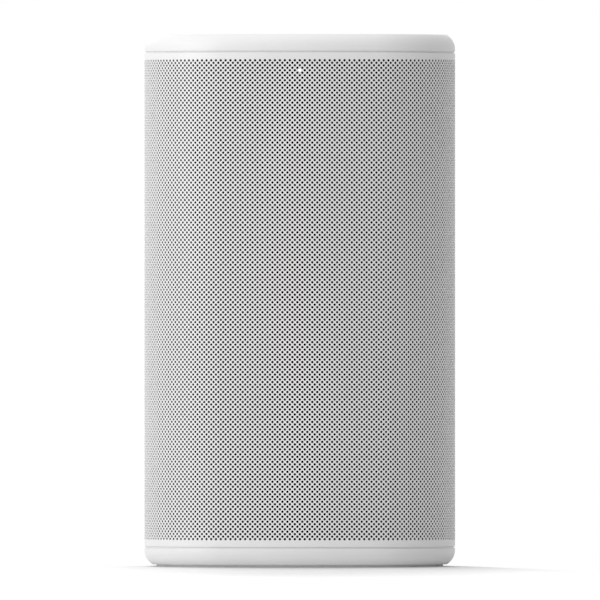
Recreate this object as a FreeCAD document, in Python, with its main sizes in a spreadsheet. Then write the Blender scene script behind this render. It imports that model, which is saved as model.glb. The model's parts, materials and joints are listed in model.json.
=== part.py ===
"""Portable smart speaker: an oval sleeve grille between two caps, around a moulded acoustic cabinet.

Millimetres. +Z is up, the front faces -Y, and the origin is the centre of the footprint.
"""

import FreeCAD
import Part

import math
import os

import Sketcher
from FreeCAD import Placement, Rotation, Vector

# ---------------------------------------------------------------------------------------------
# Driving sizes. Each one is written once here and kept in the document's sheet.
# ---------------------------------------------------------------------------------------------

SIZES = {
    # outer form
    "body_width": 112.5,
    "body_depth": 76.7,
    "body_height": 192.3,
    "side_ease": 2.35,
    "top_cap_height": 6.3,
    "base_cap_height": 6.14,
    "cap_edge_rise": 5.24,
    "cap_edge_inset": 2.9,
    "seam_gap": 0.5,
    "foot_drop": 0.6,
    # shells, from the outside in
    "grille_wall": 1.4,
    "cloth_gap": 0.1,
    "cloth_thickness": 0.4,
    "shell_clearance": 0.3,
    "cap_wall": 2.4,
    "cap_plate": 2.4,
    "skirt_wall": 1.5,
    "skirt_length": 4.2,
    "cabinet_wall": 2.6,
    # fasteners
    "screw_radius": 1.0,
    "screw_head_radius": 2.1,
    "screw_head_height": 1.5,
    "screw_clearance": 0.3,
    "thread_play": 0.05,
    "boss_radius": 3.0,
    "corner_angle": 35.0,
    # base, foot and wireless charging
    "base_floor": 3.0,
    "foot_inset": 4.2,
    "foot_width": 11.8,
    "foot_recess": 1.4,
    "foot_play": 0.2,
    "base_screw_inset": 12.0,
    "base_space": 5.6,
    "base_frame_thickness": 2.4,
    "base_screw_grip": 12.0,
    "head_recess": 2.6,
    "coil_outer_radius": 24.0,
    "coil_inner_radius": 11.0,
    "coil_thickness": 1.4,
    "ferrite_overlap": 2.0,
    "ferrite_thickness": 1.0,
    # battery
    "cell_radius": 10.6,
    "battery_side_space": 21.15,
    "cell_play": 0.2,
    "case_wall": 1.2,
    "case_corner": 3.0,
    "case_top_play": 0.3,
    # acoustic cabinet
    "control_bay": 17.9,
    "lid_setback": 13.35,
    "lid_thickness": 2.8,
    "lid_rib_depth": 3.0,
    "lid_rib_width": 1.6,
    "lid_rib_gap": 6.0,
    "seal_thickness": 0.6,
    "seal_width": 1.8,
    "lid_screw_inset": 22.25,
    "lid_screw_rise": 2.0,
    "lid_screw_gap": 4.0,
    "lid_boss_length": 12.0,
    "lid_post_rib": 1.6,
    # woofer
    "woofer_setback": 8.35,
    "woofer_radius": 36.0,
    "woofer_flange": 3.0,
    "woofer_rim": 5.4,
    "basket_wall": 1.8,
    "basket_depth": 18.0,
    "basket_window": 4.2,
    "motor_radius": 20.0,
    "pole_radius": 12.0,
    "coil_gap": 0.4,
    "former_wall": 0.6,
    "top_plate_thickness": 4.0,
    "magnet_thickness": 10.0,
    "magnet_extra": 1.5,
    "yoke_thickness": 4.0,
    "pole_vent": 3.0,
    "former_length": 17.0,
    "coil_overhang": 1.0,
    "cone_thickness": 0.6,
    "cone_depth": 9.4,
    "dust_cap_rise": 4.6,
    "spider_setback": 12.0,
    "spider_thickness": 0.4,
    "spider_wave": 0.9,
    "roll_radius": 2.5,
    "roll_thickness": 0.5,
    "lip_width": 1.4,
    "driver_clearance": 0.3,
    "driver_wall": 2.0,
    "driver_seat": 2.6,
    # passive radiators
    "radiator_setback": 13.35,
    "radiator_side_space": 0.69,
    "radiator_end_space": 49.4,
    "radiator_rise": 8.3,
    "radiator_flange": 2.4,
    "radiator_rim": 3.8,
    "radiator_roll": 2.6,
    "radiator_plate": 2.2,
    "radiator_weight": 1.6,
    "radiator_weight_inset": 3.0,
    # tweeters
    "tweeter_drop": 20.1,
    "tweeter_angle": 35.0,
    "tweeter_setback": 10.0,
    "tweeter_radius": 16.0,
    "tweeter_flange": 2.4,
    "tweeter_motor_radius": 13.0,
    "tweeter_motor_depth": 12.0,
    "tweeter_dome_radius": 10.0,
    "tweeter_dome_rise": 3.0,
    "tweeter_dome_wall": 0.4,
    "tweeter_gap": 0.5,
    "tweeter_coil_length": 3.0,
    # rear electronics
    "board_thickness": 1.2,
    "board_side_space": 1.86,
    "board_end_space": 16.7,
    "board_rise": 15.3,
    "board_screw_inset": 4.0,
    "spreader_thickness": 1.0,
    "spreader_width": 44.0,
    "spreader_height": 62.0,
    "spreader_gap": 0.3,
    "shield_width": 15.0,
    "shield_height": 24.0,
    "shield_depth": 2.4,
    "shield_wall": 0.5,
    "shield_side_space": 0.55,
    "shield_pitch": 34.0,
    # rear control panel
    "panel_drop": 8.0,
    "panel_width": 22.0,
    "panel_height": 86.0,
    "panel_setback": 3.75,
    "panel_flange": 2.0,
    "panel_face": 1.85,
    "panel_rim": 2.0,
    "panel_gap": 0.3,
    "rear_key_radius": 3.7,
    "rear_key_flange": 1.0,
    "rear_key_recess": 0.3,
    "rear_key_pitch": 17.0,
    "power_key_drop": 9.0,
    "switch_side": 4.6,
    "rear_switch_height": 2.4,
    "switch_well": 1.5,
    "stem_radius": 1.2,
    "stem_entry": 0.4,
    "stem_gap": 0.3,
    "key_gap": 0.3,
    "key_flange_thickness": 0.8,
    "mute_width": 3.2,
    "mute_length": 4.4,
    "mute_travel": 3.0,
    "mute_cover": 0.8,
    "mute_recess": 0.45,
    "mute_end_space": 16.0,
    "usb_width": 8.94,
    "usb_height": 3.26,
    "usb_wall": 0.3,
    "usb_tongue_width": 6.2,
    "usb_tongue_height": 0.7,
    "usb_tongue_setback": 0.8,
    "usb_recess": 0.75,
    "usb_end_space": 13.0,
    # top controls
    "key_pitch": 17.0,
    "key_radius": 6.5,
    "key_flange": 1.1,
    "key_proud": 0.2,
    "key_edge": 0.4,
    "dish_depth": 0.6,
    "dish_margin": 3.5,
    "key_space": 6.0,
    "top_switch_height": 2.6,
    "control_board_thickness": 1.6,
    "cap_post_space": 4.0,
    "frame_wall": 2.0,
    "frame_floor": 2.0,
    "frame_rim_drop": 0.4,
    "top_seal_thickness": 0.8,
    "frame_boss_height": 5.0,
    "frame_screw_x": 24.0,
    "frame_screw_y": 18.0,
    "frame_screw_grip": 8.0,
    "cap_screw_grip": 3.6,
    "mic_x": 17.0,
    "mic_y": 15.0,
    "mic_port": 0.5,
    "mic_boot": 2.2,
    "mic_length": 3.5,
    "mic_width": 2.65,
    "mic_height": 1.0,
    "antenna_length": 16.0,
    "antenna_height": 8.0,
    "antenna_thickness": 1.0,
    "antenna_setback": 8.2,
    # status light
    "light_drop": 6.8,
    "light_radius": 0.4,
    "light_play": 0.05,
    "light_reach": 7.8,
    "light_block": 3.2,
    "light_gap": 0.3,
    "led_width": 1.6,
    "led_height": 0.8,
}

document = FreeCAD.newDocument("smart_speaker")
sheet = document.addObject("Spreadsheet::Sheet", "sizes")
for row, (alias, number) in enumerate(SIZES.items(), start=1):
    sheet.set(f"A{row}", alias)
    sheet.set(f"B{row}", str(number))
    sheet.setAlias(f"B{row}", alias)
document.recompute()


class Size:
    """A number together with the sheet expression that it is worked out from."""

    def __init__(self, value, text):
        self.value = value
        self.text = text

    @staticmethod
    def of(other):
        return other if isinstance(other, Size) else Size(float(other), str(other))

    def __add__(self, other):
        other = Size.of(other)
        return Size(self.value + other.value, f"({self.text} + {other.text})")

    def __sub__(self, other):
        other = Size.of(other)
        return Size(self.value - other.value, f"({self.text} - {other.text})")

    def __mul__(self, other):
        other = Size.of(other)
        return Size(self.value * other.value, f"({self.text} * {other.text})")

    def __truediv__(self, other):
        other = Size.of(other)
        return Size(self.value / other.value, f"({self.text} / {other.text})")

    def __neg__(self):
        return Size(-self.value, f"(-{self.text})")

    __radd__ = __add__
    __rmul__ = __mul__


class Sheet:
    """Reads the sheet's cells by alias as Size values."""

    def __getattr__(self, alias):
        return Size(float(sheet.get(alias)), f"sizes.{alias}")


d = Sheet()
ZERO = Size(0.0, "0")


def sine(angle):
    return Size(math.sin(math.radians(angle.value)), f"sin({angle.text})")


def cosine(angle):
    return Size(math.cos(math.radians(angle.value)), f"cos({angle.text})")


def root(size):
    return Size(math.sqrt(size.value), f"sqrt({size.text})")


# ---------------------------------------------------------------------------------------------
# Sketches and features
# ---------------------------------------------------------------------------------------------

X_AXIS, Y_AXIS = range(-1, -3, -1)
ORIGIN = X_AXIS
START, END, CENTRE = range(1, 4)


class Profile:
    """A fully constrained sketch on one of its own body's origin planes."""

    def __init__(self, body, plane, level=ZERO, shift=(ZERO, ZERO), turn=0.0):
        self.body = body
        self.sketch = body.newObject("Sketcher::SketchObject", "Profile")
        support = next(o for o in body.Origin.OriginFeatures if o.Role == plane)
        self.sketch.AttachmentSupport = [(support, "")]
        self.sketch.MapMode = "FlatFace"
        place = Vector(shift[0].value, shift[1].value, level.value)
        self.sketch.AttachmentOffset = Placement(place, Rotation(Vector(0, 1, 0), turn))
        for axis, size in zip("xyz", (*shift, level)):
            self.sketch.setExpression(f"AttachmentOffset.Base.{axis}", size.text)

    def tie(self, kind, *where, size=None):
        if size is None:
            return self.sketch.addConstraint(Sketcher.Constraint(kind, *where))
        index = self.sketch.addConstraint(Sketcher.Constraint(kind, *where, size.value))
        self.sketch.setExpression(f"Constraints[{index}]", size.text)
        return index

    def hold(self, kind, item, point, size):
        """Holds a point at one coordinate, DistanceX or DistanceY, from the sketch's origin."""
        if size.value == 0:
            self.tie("PointOnObject", item, point, Y_AXIS if kind == "DistanceX" else X_AXIS)
        elif size.value > 0:
            self.tie(kind, ORIGIN, START, item, point, size=size)
        else:
            self.tie(kind, item, point, ORIGIN, START, size=-size)

    def pin(self, item, point, x, y):
        self.hold("DistanceX", item, point, x)
        self.hold("DistanceY", item, point, y)

    def line(self, start, end):
        ends = [Vector(x.value, y.value, 0) for x, y in (start, end)]
        return self.sketch.addGeometry(Part.LineSegment(*ends), False)

    def arc(self, x, y, radius, first, last):
        """An arc about x, y from angle first to angle last, in radians."""
        circle = Part.Circle(Vector(x.value, y.value, 0), Vector(0, 0, 1), radius.value)
        return self.sketch.addGeometry(Part.ArcOfCircle(circle, first, last), False)

    def circle(self, radius, x=ZERO, y=ZERO):
        centre = Vector(x.value, y.value, 0)
        item = self.sketch.addGeometry(Part.Circle(centre, Vector(0, 0, 1), radius.value), False)
        self.pin(item, CENTRE, x, y)
        self.tie("Radius", item, size=radius)
        return self

    def outline(self, points):
        """A closed run of straight sides through the given corners."""
        sides = [self.line(a, b) for a, b in zip(points, points[1:] + points[:1])]
        for side, following in zip(sides, sides[1:] + sides[:1]):
            self.tie("Coincident", side, END, following, START)
        for side, (x, y) in zip(sides, points):
            self.pin(side, START, x, y)
        return self

    def rectangle(self, width, height, x=ZERO, y=ZERO):
        left, right = x - width / 2, x + width / 2
        low, high = y - height / 2, y + height / 2
        return self.outline([(left, low), (right, low), (right, high), (left, high)])

    def slot(self, width, height, x=ZERO, y=ZERO):
        """A racetrack, rounded at its two far ends."""
        upright = height.value > width.value
        across, along = (width, height) if upright else (height, width)
        radius = across / 2
        reach = along / 2 - radius
        start = 0.0 if upright else -math.pi / 2

        def place(side, run):
            """A point this far to the side of the middle line and this far along it."""
            return (x - side, y + run) if upright else (x + run, y + side)

        far, near = place(ZERO, reach), place(ZERO, -reach)
        ring = [
            self.arc(*far, radius, start, start + math.pi),
            self.line(place(radius, reach), place(radius, -reach)),
            self.arc(*near, radius, start + math.pi, start + 2 * math.pi),
            self.line(place(-radius, -reach), place(-radius, reach)),
        ]
        for item, following in zip(ring, ring[1:] + ring[:1]):
            self.tie("Tangent", item, END, following, START)
        self.pin(ring[0], CENTRE, *far)
        self.pin(ring[2], CENTRE, *near)
        self.tie("Radius", ring[0], size=radius)
        self.tie("Equal", ring[0], ring[2])
        return self

    def oval(self, inset=ZERO):
        """The body's plan outline, moved inwards: four tangent arcs about fixed centres."""
        side_x = d.body_width / 2 - SIDE_RADIUS
        half = d.body_depth / 2
        front = (side_x * side_x + half * half - SIDE_RADIUS * SIDE_RADIUS) / (
            (half - SIDE_RADIUS) * 2
        )
        front_y = front - half
        lean = math.atan2(side_x.value, front_y.value)
        quarter = math.pi / 2
        radius, front_radius = SIDE_RADIUS - inset, front - inset
        right = self.arc(side_x, ZERO, radius, lean - quarter, quarter - lean)
        rear = self.arc(ZERO, -front_y, front_radius, quarter - lean, quarter + lean)
        left = self.arc(-side_x, ZERO, radius, quarter + lean, 3 * quarter - lean)
        fore = self.arc(ZERO, front_y, front_radius, 3 * quarter - lean, 3 * quarter + lean)
        ring = [right, rear, left, fore]
        for item, following in zip(ring, ring[1:] + ring[:1]):
            self.tie("Tangent", item, END, following, START)
        self.pin(right, CENTRE, side_x, ZERO)
        self.pin(left, CENTRE, -side_x, ZERO)
        self.tie("Radius", right, size=radius)
        self.tie("Equal", right, left)
        for item, depth in ((fore, inset - half), (rear, half - inset)):
            tip = self.sketch.addGeometry(Part.Point(Vector(0, depth.value, 0)), True)
            self.pin(tip, START, ZERO, depth)
            self.tie("PointOnObject", tip, START, item)
        return self

    def dome(self, rim_radius, rise, wall, level):
        """Half the section of a shallow shell that bulges towards -Y from its rim at level."""
        sphere = (rim_radius * rim_radius + rise * rise) / (rise * 2)
        centre = level + sphere - rise
        down = -math.pi / 2
        arcs = []
        for radius in (sphere, sphere - wall):
            lean = math.acos((sphere - rise).value / radius.value)
            arcs.append(self.arc(ZERO, centre, radius, down, down + lean))
            self.tie("Radius", arcs[-1], size=radius)
            self.tie("PointOnObject", arcs[-1], START, Y_AXIS)
        inner_rim = root((sphere - wall) * (sphere - wall) - (sphere - rise) * (sphere - rise))
        rim = self.line((rim_radius, level), (inner_rim, level))
        crown = self.line((ZERO, level - rise + wall), (ZERO, level - rise))
        self.tie("Coincident", arcs[0], END, rim, START)
        self.tie("Coincident", rim, END, arcs[1], END)
        self.tie("Coincident", arcs[1], START, crown, START)
        self.tie("Coincident", crown, END, arcs[0], START)
        self.tie("Coincident", arcs[1], CENTRE, arcs[0], CENTRE)
        self.tie("Horizontal", rim)
        self.hold("DistanceY", rim, START, level)
        self.pin(arcs[0], CENTRE, ZERO, centre)
        return self

    def roll(self, middle, radius, wall, lip, level, side=1):
        """The section of a half-roll surround: two flat lips and a bulge towards -Y * side."""
        half = math.pi / 2
        lift = wall * side
        reach = root(radius * radius - wall * wall)
        lean = math.asin(wall.value / radius.value)
        turn = half if side < 0 else -half
        spread = half - lean
        bulge = self.arc(middle, level, radius, turn - spread, turn + spread)
        hollow = self.arc(middle, level, radius - wall, turn - half, turn + half)
        near, far = (START, END) if side > 0 else (END, START)
        top, low = level - lift, level
        inner, outer = middle - radius - lip, middle + radius + lip
        strokes = [
            self.line((middle - reach, top), (inner, top)),
            self.line((inner, top), (inner, low)),
            self.line((inner, low), (middle - radius + wall, low)),
            self.line((middle + radius - wall, low), (outer, low)),
            self.line((outer, low), (outer, top)),
            self.line((outer, top), (middle + reach, top)),
        ]
        for a, b in ((0, 1), (1, 2), (3, 4), (4, 5)):
            self.tie("Coincident", strokes[a], END, strokes[b], START)
        self.tie("Coincident", bulge, near, strokes[0], START)
        self.tie("Coincident", strokes[2], END, hollow, near)
        self.tie("Coincident", hollow, far, strokes[3], START)
        self.tie("Coincident", strokes[5], END, bulge, far)
        self.tie("Coincident", hollow, CENTRE, bulge, CENTRE)
        self.pin(bulge, CENTRE, middle, level)
        self.tie("Radius", bulge, size=radius)
        self.tie("Radius", hollow, size=radius - wall)
        self.pin(strokes[1], START, inner, top)
        self.pin(strokes[1], END, inner, low)
        self.pin(strokes[4], START, outer, low)
        self.pin(strokes[4], END, outer, top)
        self.tie("Horizontal", strokes[0])
        self.tie("Horizontal", strokes[2])
        self.tie("Horizontal", strokes[3])
        self.tie("Horizontal", strokes[5])
        return self


BODIES = []


def new_body(label, base=None, turn=0.0):
    """A body; base and turn place a driver's own frame, in which it faces -Y."""
    body = document.addObject("PartDesign::Body", label)
    body.Label = label
    if base:
        body.Placement = Placement(
            Vector(*(size.value for size in base)), Rotation(Vector(0, 0, 1), turn)
        )
        for axis, size in zip("xyz", base):
            body.setExpression(f"Placement.Base.{axis}", size.text)
    document.recompute()
    BODIES.append(body)
    return body


def add_feature(kind, profile, length):
    feature = profile.body.newObject(f"PartDesign::{kind}", kind)
    feature.Profile = profile.sketch
    profile.sketch.Visibility = False
    if length is not None:
        feature.setExpression("Length", length.text)
    return feature


def finish(feature, body, grows):
    """Recomputes one feature and makes sure that it changed the solid the right way."""
    before = body.Shape.Volume if body.Shape.Solids else 0.0
    document.recompute()
    after = body.Shape.Volume
    if feature.State and feature.State[0] in ("Invalid", "Error"):
        raise RuntimeError(f"{body.Label}.{feature.Name} failed")
    if (after > before) != grows:
        raise RuntimeError(f"{body.Label}.{feature.Name}: volume {before:.3f} to {after:.3f}")
    return feature


def pad(profile, length, back=False):
    """Adds material along the sketch's normal, or against it."""
    feature = add_feature("Pad", profile, length)
    feature.Reversed = back
    return finish(feature, profile.body, grows=True)


def cut(profile, length=None, back=False):
    """Removes material along the sketch's normal, or against it; all the way without a length."""
    feature = add_feature("Pocket", profile, length)
    feature.Type = "ThroughAll" if length is None else "Length"
    feature.Reversed = not back
    return finish(feature, profile.body, grows=False)


def revolve(profile):
    """Turns a section about its sketch's vertical axis."""
    feature = add_feature("Revolution", profile, None)
    feature.ReferenceAxis = (profile.sketch, ["V_Axis"])
    feature.Angle = 360.0
    return finish(feature, profile.body, grows=True)


def sweep(section, path):
    """Carries a section along a closed path."""
    feature = add_feature("AdditivePipe", section, None)
    feature.Spine = (path.sketch, [])
    path.sketch.Visibility = False
    return finish(feature, section.body, grows=True)


def round_edges(body, radius, chosen, kind="Fillet"):
    """Rounds or bevels the edges that pass a test."""
    base = body.Tip
    names = [f"Edge{i}" for i, e in enumerate(base.Shape.Edges, start=1) if chosen(e)]
    feature = body.newObject(f"PartDesign::{kind}", kind)
    feature.Base = (base, names)
    feature.setExpression("Radius" if kind == "Fillet" else "Size", radius.text)
    return finish(feature, body, grows=False)


def lies_at(level, axis="Z"):
    """A test for edges that lie wholly in the plane at this level."""

    def chosen(edge):
        box = edge.BoundBox
        low, high = getattr(box, f"{axis}Min"), getattr(box, f"{axis}Max")
        return abs(low - level.value) < 1e-4 and abs(high - level.value) < 1e-4

    return chosen


def is_upright(edge):
    box = edge.BoundBox
    return box.ZLength > max(box.XLength, box.YLength)


def flat(body, level=ZERO):
    return Profile(body, "XY_Plane", level)


def facing(body, level=ZERO):
    """A sketch across the speaker's depth: x is +X, y is +Z, and its normal is -Y."""
    return Profile(body, "XZ_Plane", level)


def trim_to_oval(body, inset):
    """Takes away all that stands outside the plan outline."""
    margin = d.body_width * 2
    cut(flat(body, -d.body_height).rectangle(margin, margin).oval(inset))


def corners(inset):
    """Four places on an inner oval, on both sides and both ends."""
    reach = SIDE_RADIUS - inset
    x = d.body_width / 2 - SIDE_RADIUS + reach * cosine(d.corner_angle)
    y = reach * sine(d.corner_angle)
    return [(a, b) for a in (x, -x) for b in (y, -y)]


def circles(profile, radius, places):
    for x, y in places:
        profile.circle(radius, x, y)
    return profile


# ---------------------------------------------------------------------------------------------
# Levels and insets that several pieces share
# ---------------------------------------------------------------------------------------------


def free_reach(away):
    """Half the chord of the side arc inside the cloth, this far from the arc's centre."""
    return root(FREE_RADIUS * FREE_RADIUS - away * away)



SIDE_RADIUS = d.body_depth / 2 - d.side_ease
SIDE_X = d.body_width / 2 - SIDE_RADIUS
TOP_SEAM = d.body_height - d.top_cap_height
BASE_SEAM = d.foot_drop + d.base_cap_height
CLOTH_INSET = d.grille_wall + d.cloth_gap
SKIRT_INSET = CLOTH_INSET + d.cloth_thickness + d.shell_clearance
FREE_RADIUS = SIDE_RADIUS - SKIRT_INSET
CABINET_INSET = SKIRT_INSET + d.skirt_wall + d.shell_clearance
CHAMBER_INSET = CABINET_INSET + d.cabinet_wall
BASE_FLOOR = d.foot_drop + d.base_floor
FOOT_GROOVE = d.foot_drop + d.foot_recess
BAY_FLOOR = BASE_FLOOR + d.base_space + d.base_frame_thickness
CASE_HEIGHT = (d.cell_radius + d.cell_play) * 2 + d.case_wall
CABINET_FLOOR = BAY_FLOOR + CASE_HEIGHT + d.case_top_play
CABINET_TOP = TOP_SEAM - d.control_bay
FRAME_FLOOR = CABINET_TOP + d.top_seal_thickness
CAP_UNDERSIDE = d.body_height - d.cap_plate
BOARD_TOP = CAP_UNDERSIDE - d.key_space
BOARD_UNDERSIDE = BOARD_TOP - d.control_board_thickness
CAP_POSTS = CABINET_INSET + d.frame_wall + d.boss_radius + d.cap_post_space
CABINET_HEIGHT = CABINET_TOP - CABINET_FLOOR
CELL_LENGTH = d.body_width - d.battery_side_space * 2
WOOFER_SEAT = d.body_depth / 2 - CABINET_INSET - d.woofer_setback
RADIATOR_SEAT = d.body_width / 2 - d.radiator_setback
RADIATOR_REACH = RADIATOR_SEAT + d.radiator_flange - SIDE_X
RADIATOR_WIDTH = (free_reach(RADIATOR_REACH) - d.radiator_side_space) * 2
RADIATOR_HEIGHT = CABINET_HEIGHT - d.radiator_end_space
WOOFER_LEVEL = CABINET_FLOOR + RADIATOR_HEIGHT / 2 + d.radiator_rise
TWEETER_LEVEL = CABINET_TOP - d.tweeter_drop
TWEETER_SEAT = SIDE_RADIUS - d.tweeter_setback
BOARD_HEIGHT = CABINET_HEIGHT - d.board_end_space * 2
BOARD_LEVEL = CABINET_FLOOR + BOARD_HEIGHT / 2 + d.board_rise
PANEL_LEVEL = BOARD_LEVEL - d.panel_drop
PANEL_BACK = d.body_depth / 2 - d.panel_setback
LID_LEVEL = d.body_depth / 2 - d.lid_setback
LID_SCREW_X = d.body_width / 2 - d.lid_screw_inset
LID_RIB_LENGTH = (LID_SCREW_X - d.lid_rib_gap) * 2
LID_SCREW_MIDDLE = WOOFER_LEVEL + RADIATOR_HEIGHT / 2 + d.lid_screw_gap + d.boss_radius
LID_SIDE = LID_LEVEL + d.seal_thickness
LID_FACE = LID_SIDE + d.lid_thickness
BOARD_FACE = LID_FACE + d.spreader_thickness + d.spreader_gap + d.board_thickness
BOARD_REACH = SIDE_X + free_reach(BOARD_FACE + d.screw_head_height)
BOARD_WIDTH = (BOARD_REACH - d.board_side_space) * 2
SHIELD_REACH = SIDE_X + free_reach(BOARD_FACE + d.shield_depth)
SHIELD_X = SHIELD_REACH - d.shield_width / 2 - d.shield_side_space
EDGE_RADIUS = (
    d.cap_edge_rise * d.cap_edge_rise + d.cap_edge_inset * d.cap_edge_inset
) / (d.cap_edge_inset * 2)
BORE = d.screw_radius + d.thread_play
THROUGH = d.screw_radius + d.screw_clearance
HEAD_BORE = d.screw_head_radius + d.screw_clearance
STEM_WELL = d.stem_radius + d.stem_gap


# ---------------------------------------------------------------------------------------------
# Outer shells
# ---------------------------------------------------------------------------------------------


def grille():
    """The sleeve, with a window for the rear panel and a hole for the status light."""
    body = new_body("grille")
    low = BASE_SEAM + d.seam_gap / 2
    height = TOP_SEAM - d.seam_gap / 2 - low
    pad(flat(body, low).oval().oval(d.grille_wall), height)
    gap = d.panel_gap * 2
    cut(facing(body).slot(d.panel_width + gap, d.panel_height + gap, ZERO, PANEL_LEVEL), back=True)
    cut(facing(body).circle(d.light_radius + d.light_play, ZERO, TOP_SEAM - d.light_drop))


def acoustic_cloth():
    """The liner behind the holes, open where the grille is open."""
    body = new_body("acoustic_cloth")
    low = BASE_SEAM + d.seam_gap / 2
    height = TOP_SEAM - d.seam_gap / 2 - low
    pad(flat(body, low).oval(CLOTH_INSET).oval(CLOTH_INSET + d.cloth_thickness), height)
    gap = (d.panel_flange + d.panel_gap) * 2
    cut(facing(body).slot(d.panel_width + gap, d.panel_height + gap, ZERO, PANEL_LEVEL), back=True)
    cut(facing(body).circle(d.light_radius + d.light_gap, ZERO, TOP_SEAM - d.light_drop))


def keys_row():
    return [-d.key_pitch * 1.5, -d.key_pitch * 0.5, d.key_pitch * 0.5, d.key_pitch * 1.5]


def microphone_places():
    return [(x, y) for x in (-d.mic_x, d.mic_x) for y in (-d.mic_y, d.mic_y)]


def top_cap():
    """The moulded lid: crisp rim, dished key area, screw posts and microphone ports."""
    body = new_body("top_cap")
    low = TOP_SEAM + d.seam_gap / 2
    full = d.body_height + EDGE_RADIUS - d.cap_edge_rise
    pad(flat(body, low).oval(), full - low)
    round_edges(body, EDGE_RADIUS, lies_at(full))
    cut(flat(body, d.body_height).rectangle(d.body_width, d.body_depth))
    cut(flat(body, low).oval(d.cap_wall), CAP_UNDERSIDE - low)
    skirt = low - d.skirt_length
    pad(flat(body, skirt).oval(SKIRT_INSET).oval(SKIRT_INSET + d.skirt_wall), CAP_UNDERSIDE - skirt)
    posts = circles(flat(body, BOARD_TOP), d.boss_radius, corners(CAP_POSTS))
    pad(posts, CAP_UNDERSIDE - BOARD_TOP)
    cut(circles(flat(body, BOARD_TOP), BORE, corners(CAP_POSTS)), d.cap_screw_grip)
    boots = BOARD_TOP + d.mic_height + d.key_gap
    pad(circles(flat(body, boots), d.mic_boot, microphone_places()), CAP_UNDERSIDE - boots)
    cut(circles(flat(body, boots), d.mic_port, microphone_places()))
    dish_width = d.key_pitch * 3 + (d.key_radius + d.dish_margin) * 2
    dish = flat(body, d.body_height - d.dish_depth)
    cut(dish.slot(dish_width, (d.key_radius + d.dish_margin) * 2))
    holes = [(x, ZERO) for x in keys_row()]
    cut(circles(flat(body, CAP_UNDERSIDE), d.key_radius + d.key_gap, holes))


def base_cap():
    """The tray under the grille: foot groove, screw posts and a skirt that centres the sleeve."""
    body = new_body("base_cap")
    high = BASE_SEAM - d.seam_gap / 2
    full = d.foot_drop - EDGE_RADIUS + d.cap_edge_rise
    pad(flat(body, full).oval(), high - full)
    round_edges(body, EDGE_RADIUS, lies_at(full))
    cut(flat(body, d.foot_drop).rectangle(d.body_width, d.body_depth), back=True)
    cut(flat(body, BASE_FLOOR).oval(d.cap_wall))
    skirt = high + d.skirt_length - BASE_FLOOR
    pad(flat(body, BASE_FLOOR).oval(SKIRT_INSET).oval(SKIRT_INSET + d.skirt_wall), skirt)
    groove = flat(body, d.foot_drop).oval(d.foot_inset).oval(d.foot_inset + d.foot_width)
    cut(groove, d.foot_recess)
    posts = d.base_space
    pad(circles(flat(body, BASE_FLOOR), HEAD_BORE + d.screw_radius, corners(d.base_screw_inset)), posts)
    cut(circles(flat(body), THROUGH, corners(d.base_screw_inset)))
    cut(circles(flat(body), HEAD_BORE, corners(d.base_screw_inset)), FOOT_GROOVE + d.head_recess)


def foot_ring():
    """The soft ring that the speaker stands on; it hides the base screws."""
    body = new_body("foot_ring")
    inner = d.foot_inset + d.foot_width - d.foot_play
    pad(flat(body).oval(d.foot_inset + d.foot_play).oval(inner), FOOT_GROOVE)


# ---------------------------------------------------------------------------------------------
# Base: charging coil, frame and battery
# ---------------------------------------------------------------------------------------------


def charging_parts():
    body = new_body("charging_coil")
    ring = flat(body, BASE_FLOOR).circle(d.coil_outer_radius).circle(d.coil_inner_radius)
    pad(ring, d.coil_thickness)
    body = new_body("charging_shield")
    level = BASE_FLOOR + d.coil_thickness
    pad(flat(body, level).circle(d.coil_outer_radius + d.ferrite_overlap), d.ferrite_thickness)


def case_size():
    length = CELL_LENGTH + d.cell_play * 2 + d.case_wall * 2
    width = (d.cell_radius * 2 + d.cell_play) * 2 + d.case_wall * 2
    return length, width


def base_frame():
    """The plate that closes the battery bay."""
    body = new_body("base_frame")
    level = BAY_FLOOR - d.base_frame_thickness
    pad(flat(body, level).oval(CABINET_INSET), d.base_frame_thickness)
    cut(circles(flat(body, level), THROUGH, corners(d.base_screw_inset)))
    cut(flat(body, level).slot(d.coil_outer_radius, d.coil_inner_radius))


def battery():
    length, width = case_size()
    body = new_body("battery_case")
    pad(flat(body, BAY_FLOOR).rectangle(length, width), CASE_HEIGHT)
    round_edges(body, d.case_corner, is_upright)
    inside = flat(body, BAY_FLOOR + d.case_wall)
    cut(inside.rectangle(length - d.case_wall * 2, width - d.case_wall * 2))
    body = new_body("battery_cells")
    shift = d.cell_radius + d.cell_play / 2
    level = BAY_FLOOR + d.case_wall + d.cell_radius
    ends = Profile(body, "YZ_Plane", -(CELL_LENGTH / 2))
    pad(circles(ends, d.cell_radius, [(-shift, level), (shift, level)]), CELL_LENGTH)


# ---------------------------------------------------------------------------------------------
# Acoustic cabinet
# ---------------------------------------------------------------------------------------------


class Seat:
    """Where a driver sits: the way it faces, its centre, and how far out its flange lands."""

    def __init__(self, angle, level, reach, offset):
        self.angle = angle
        self.level = level
        self.reach = reach
        self.offset = offset

    def sketch(self, body, reach):
        """A sketch across the driver's axis, this far out, whose normal points outwards."""
        across = self.offset + reach * sine(self.angle)
        ahead = reach * cosine(self.angle)
        return Profile(body, "XZ_Plane", ahead, (across, self.level), self.angle.value)

    def body(self, label):
        """A body in the driver's own frame, where it faces -Y."""
        return new_body(label, (self.offset, ZERO, self.level), self.angle.value)


RIGHT_ANGLE = Size(90.0, "90")
WOOFER = Seat(ZERO, WOOFER_LEVEL, WOOFER_SEAT, ZERO)
RADIATORS = {
    "right": Seat(RIGHT_ANGLE, WOOFER_LEVEL, RADIATOR_SEAT, ZERO),
    "left": Seat(-RIGHT_ANGLE, WOOFER_LEVEL, RADIATOR_SEAT, ZERO),
}
TWEETERS = {
    "right": Seat(d.tweeter_angle, TWEETER_LEVEL, TWEETER_SEAT, SIDE_X),
    "left": Seat(-d.tweeter_angle, TWEETER_LEVEL, TWEETER_SEAT, -SIDE_X),
}


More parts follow.
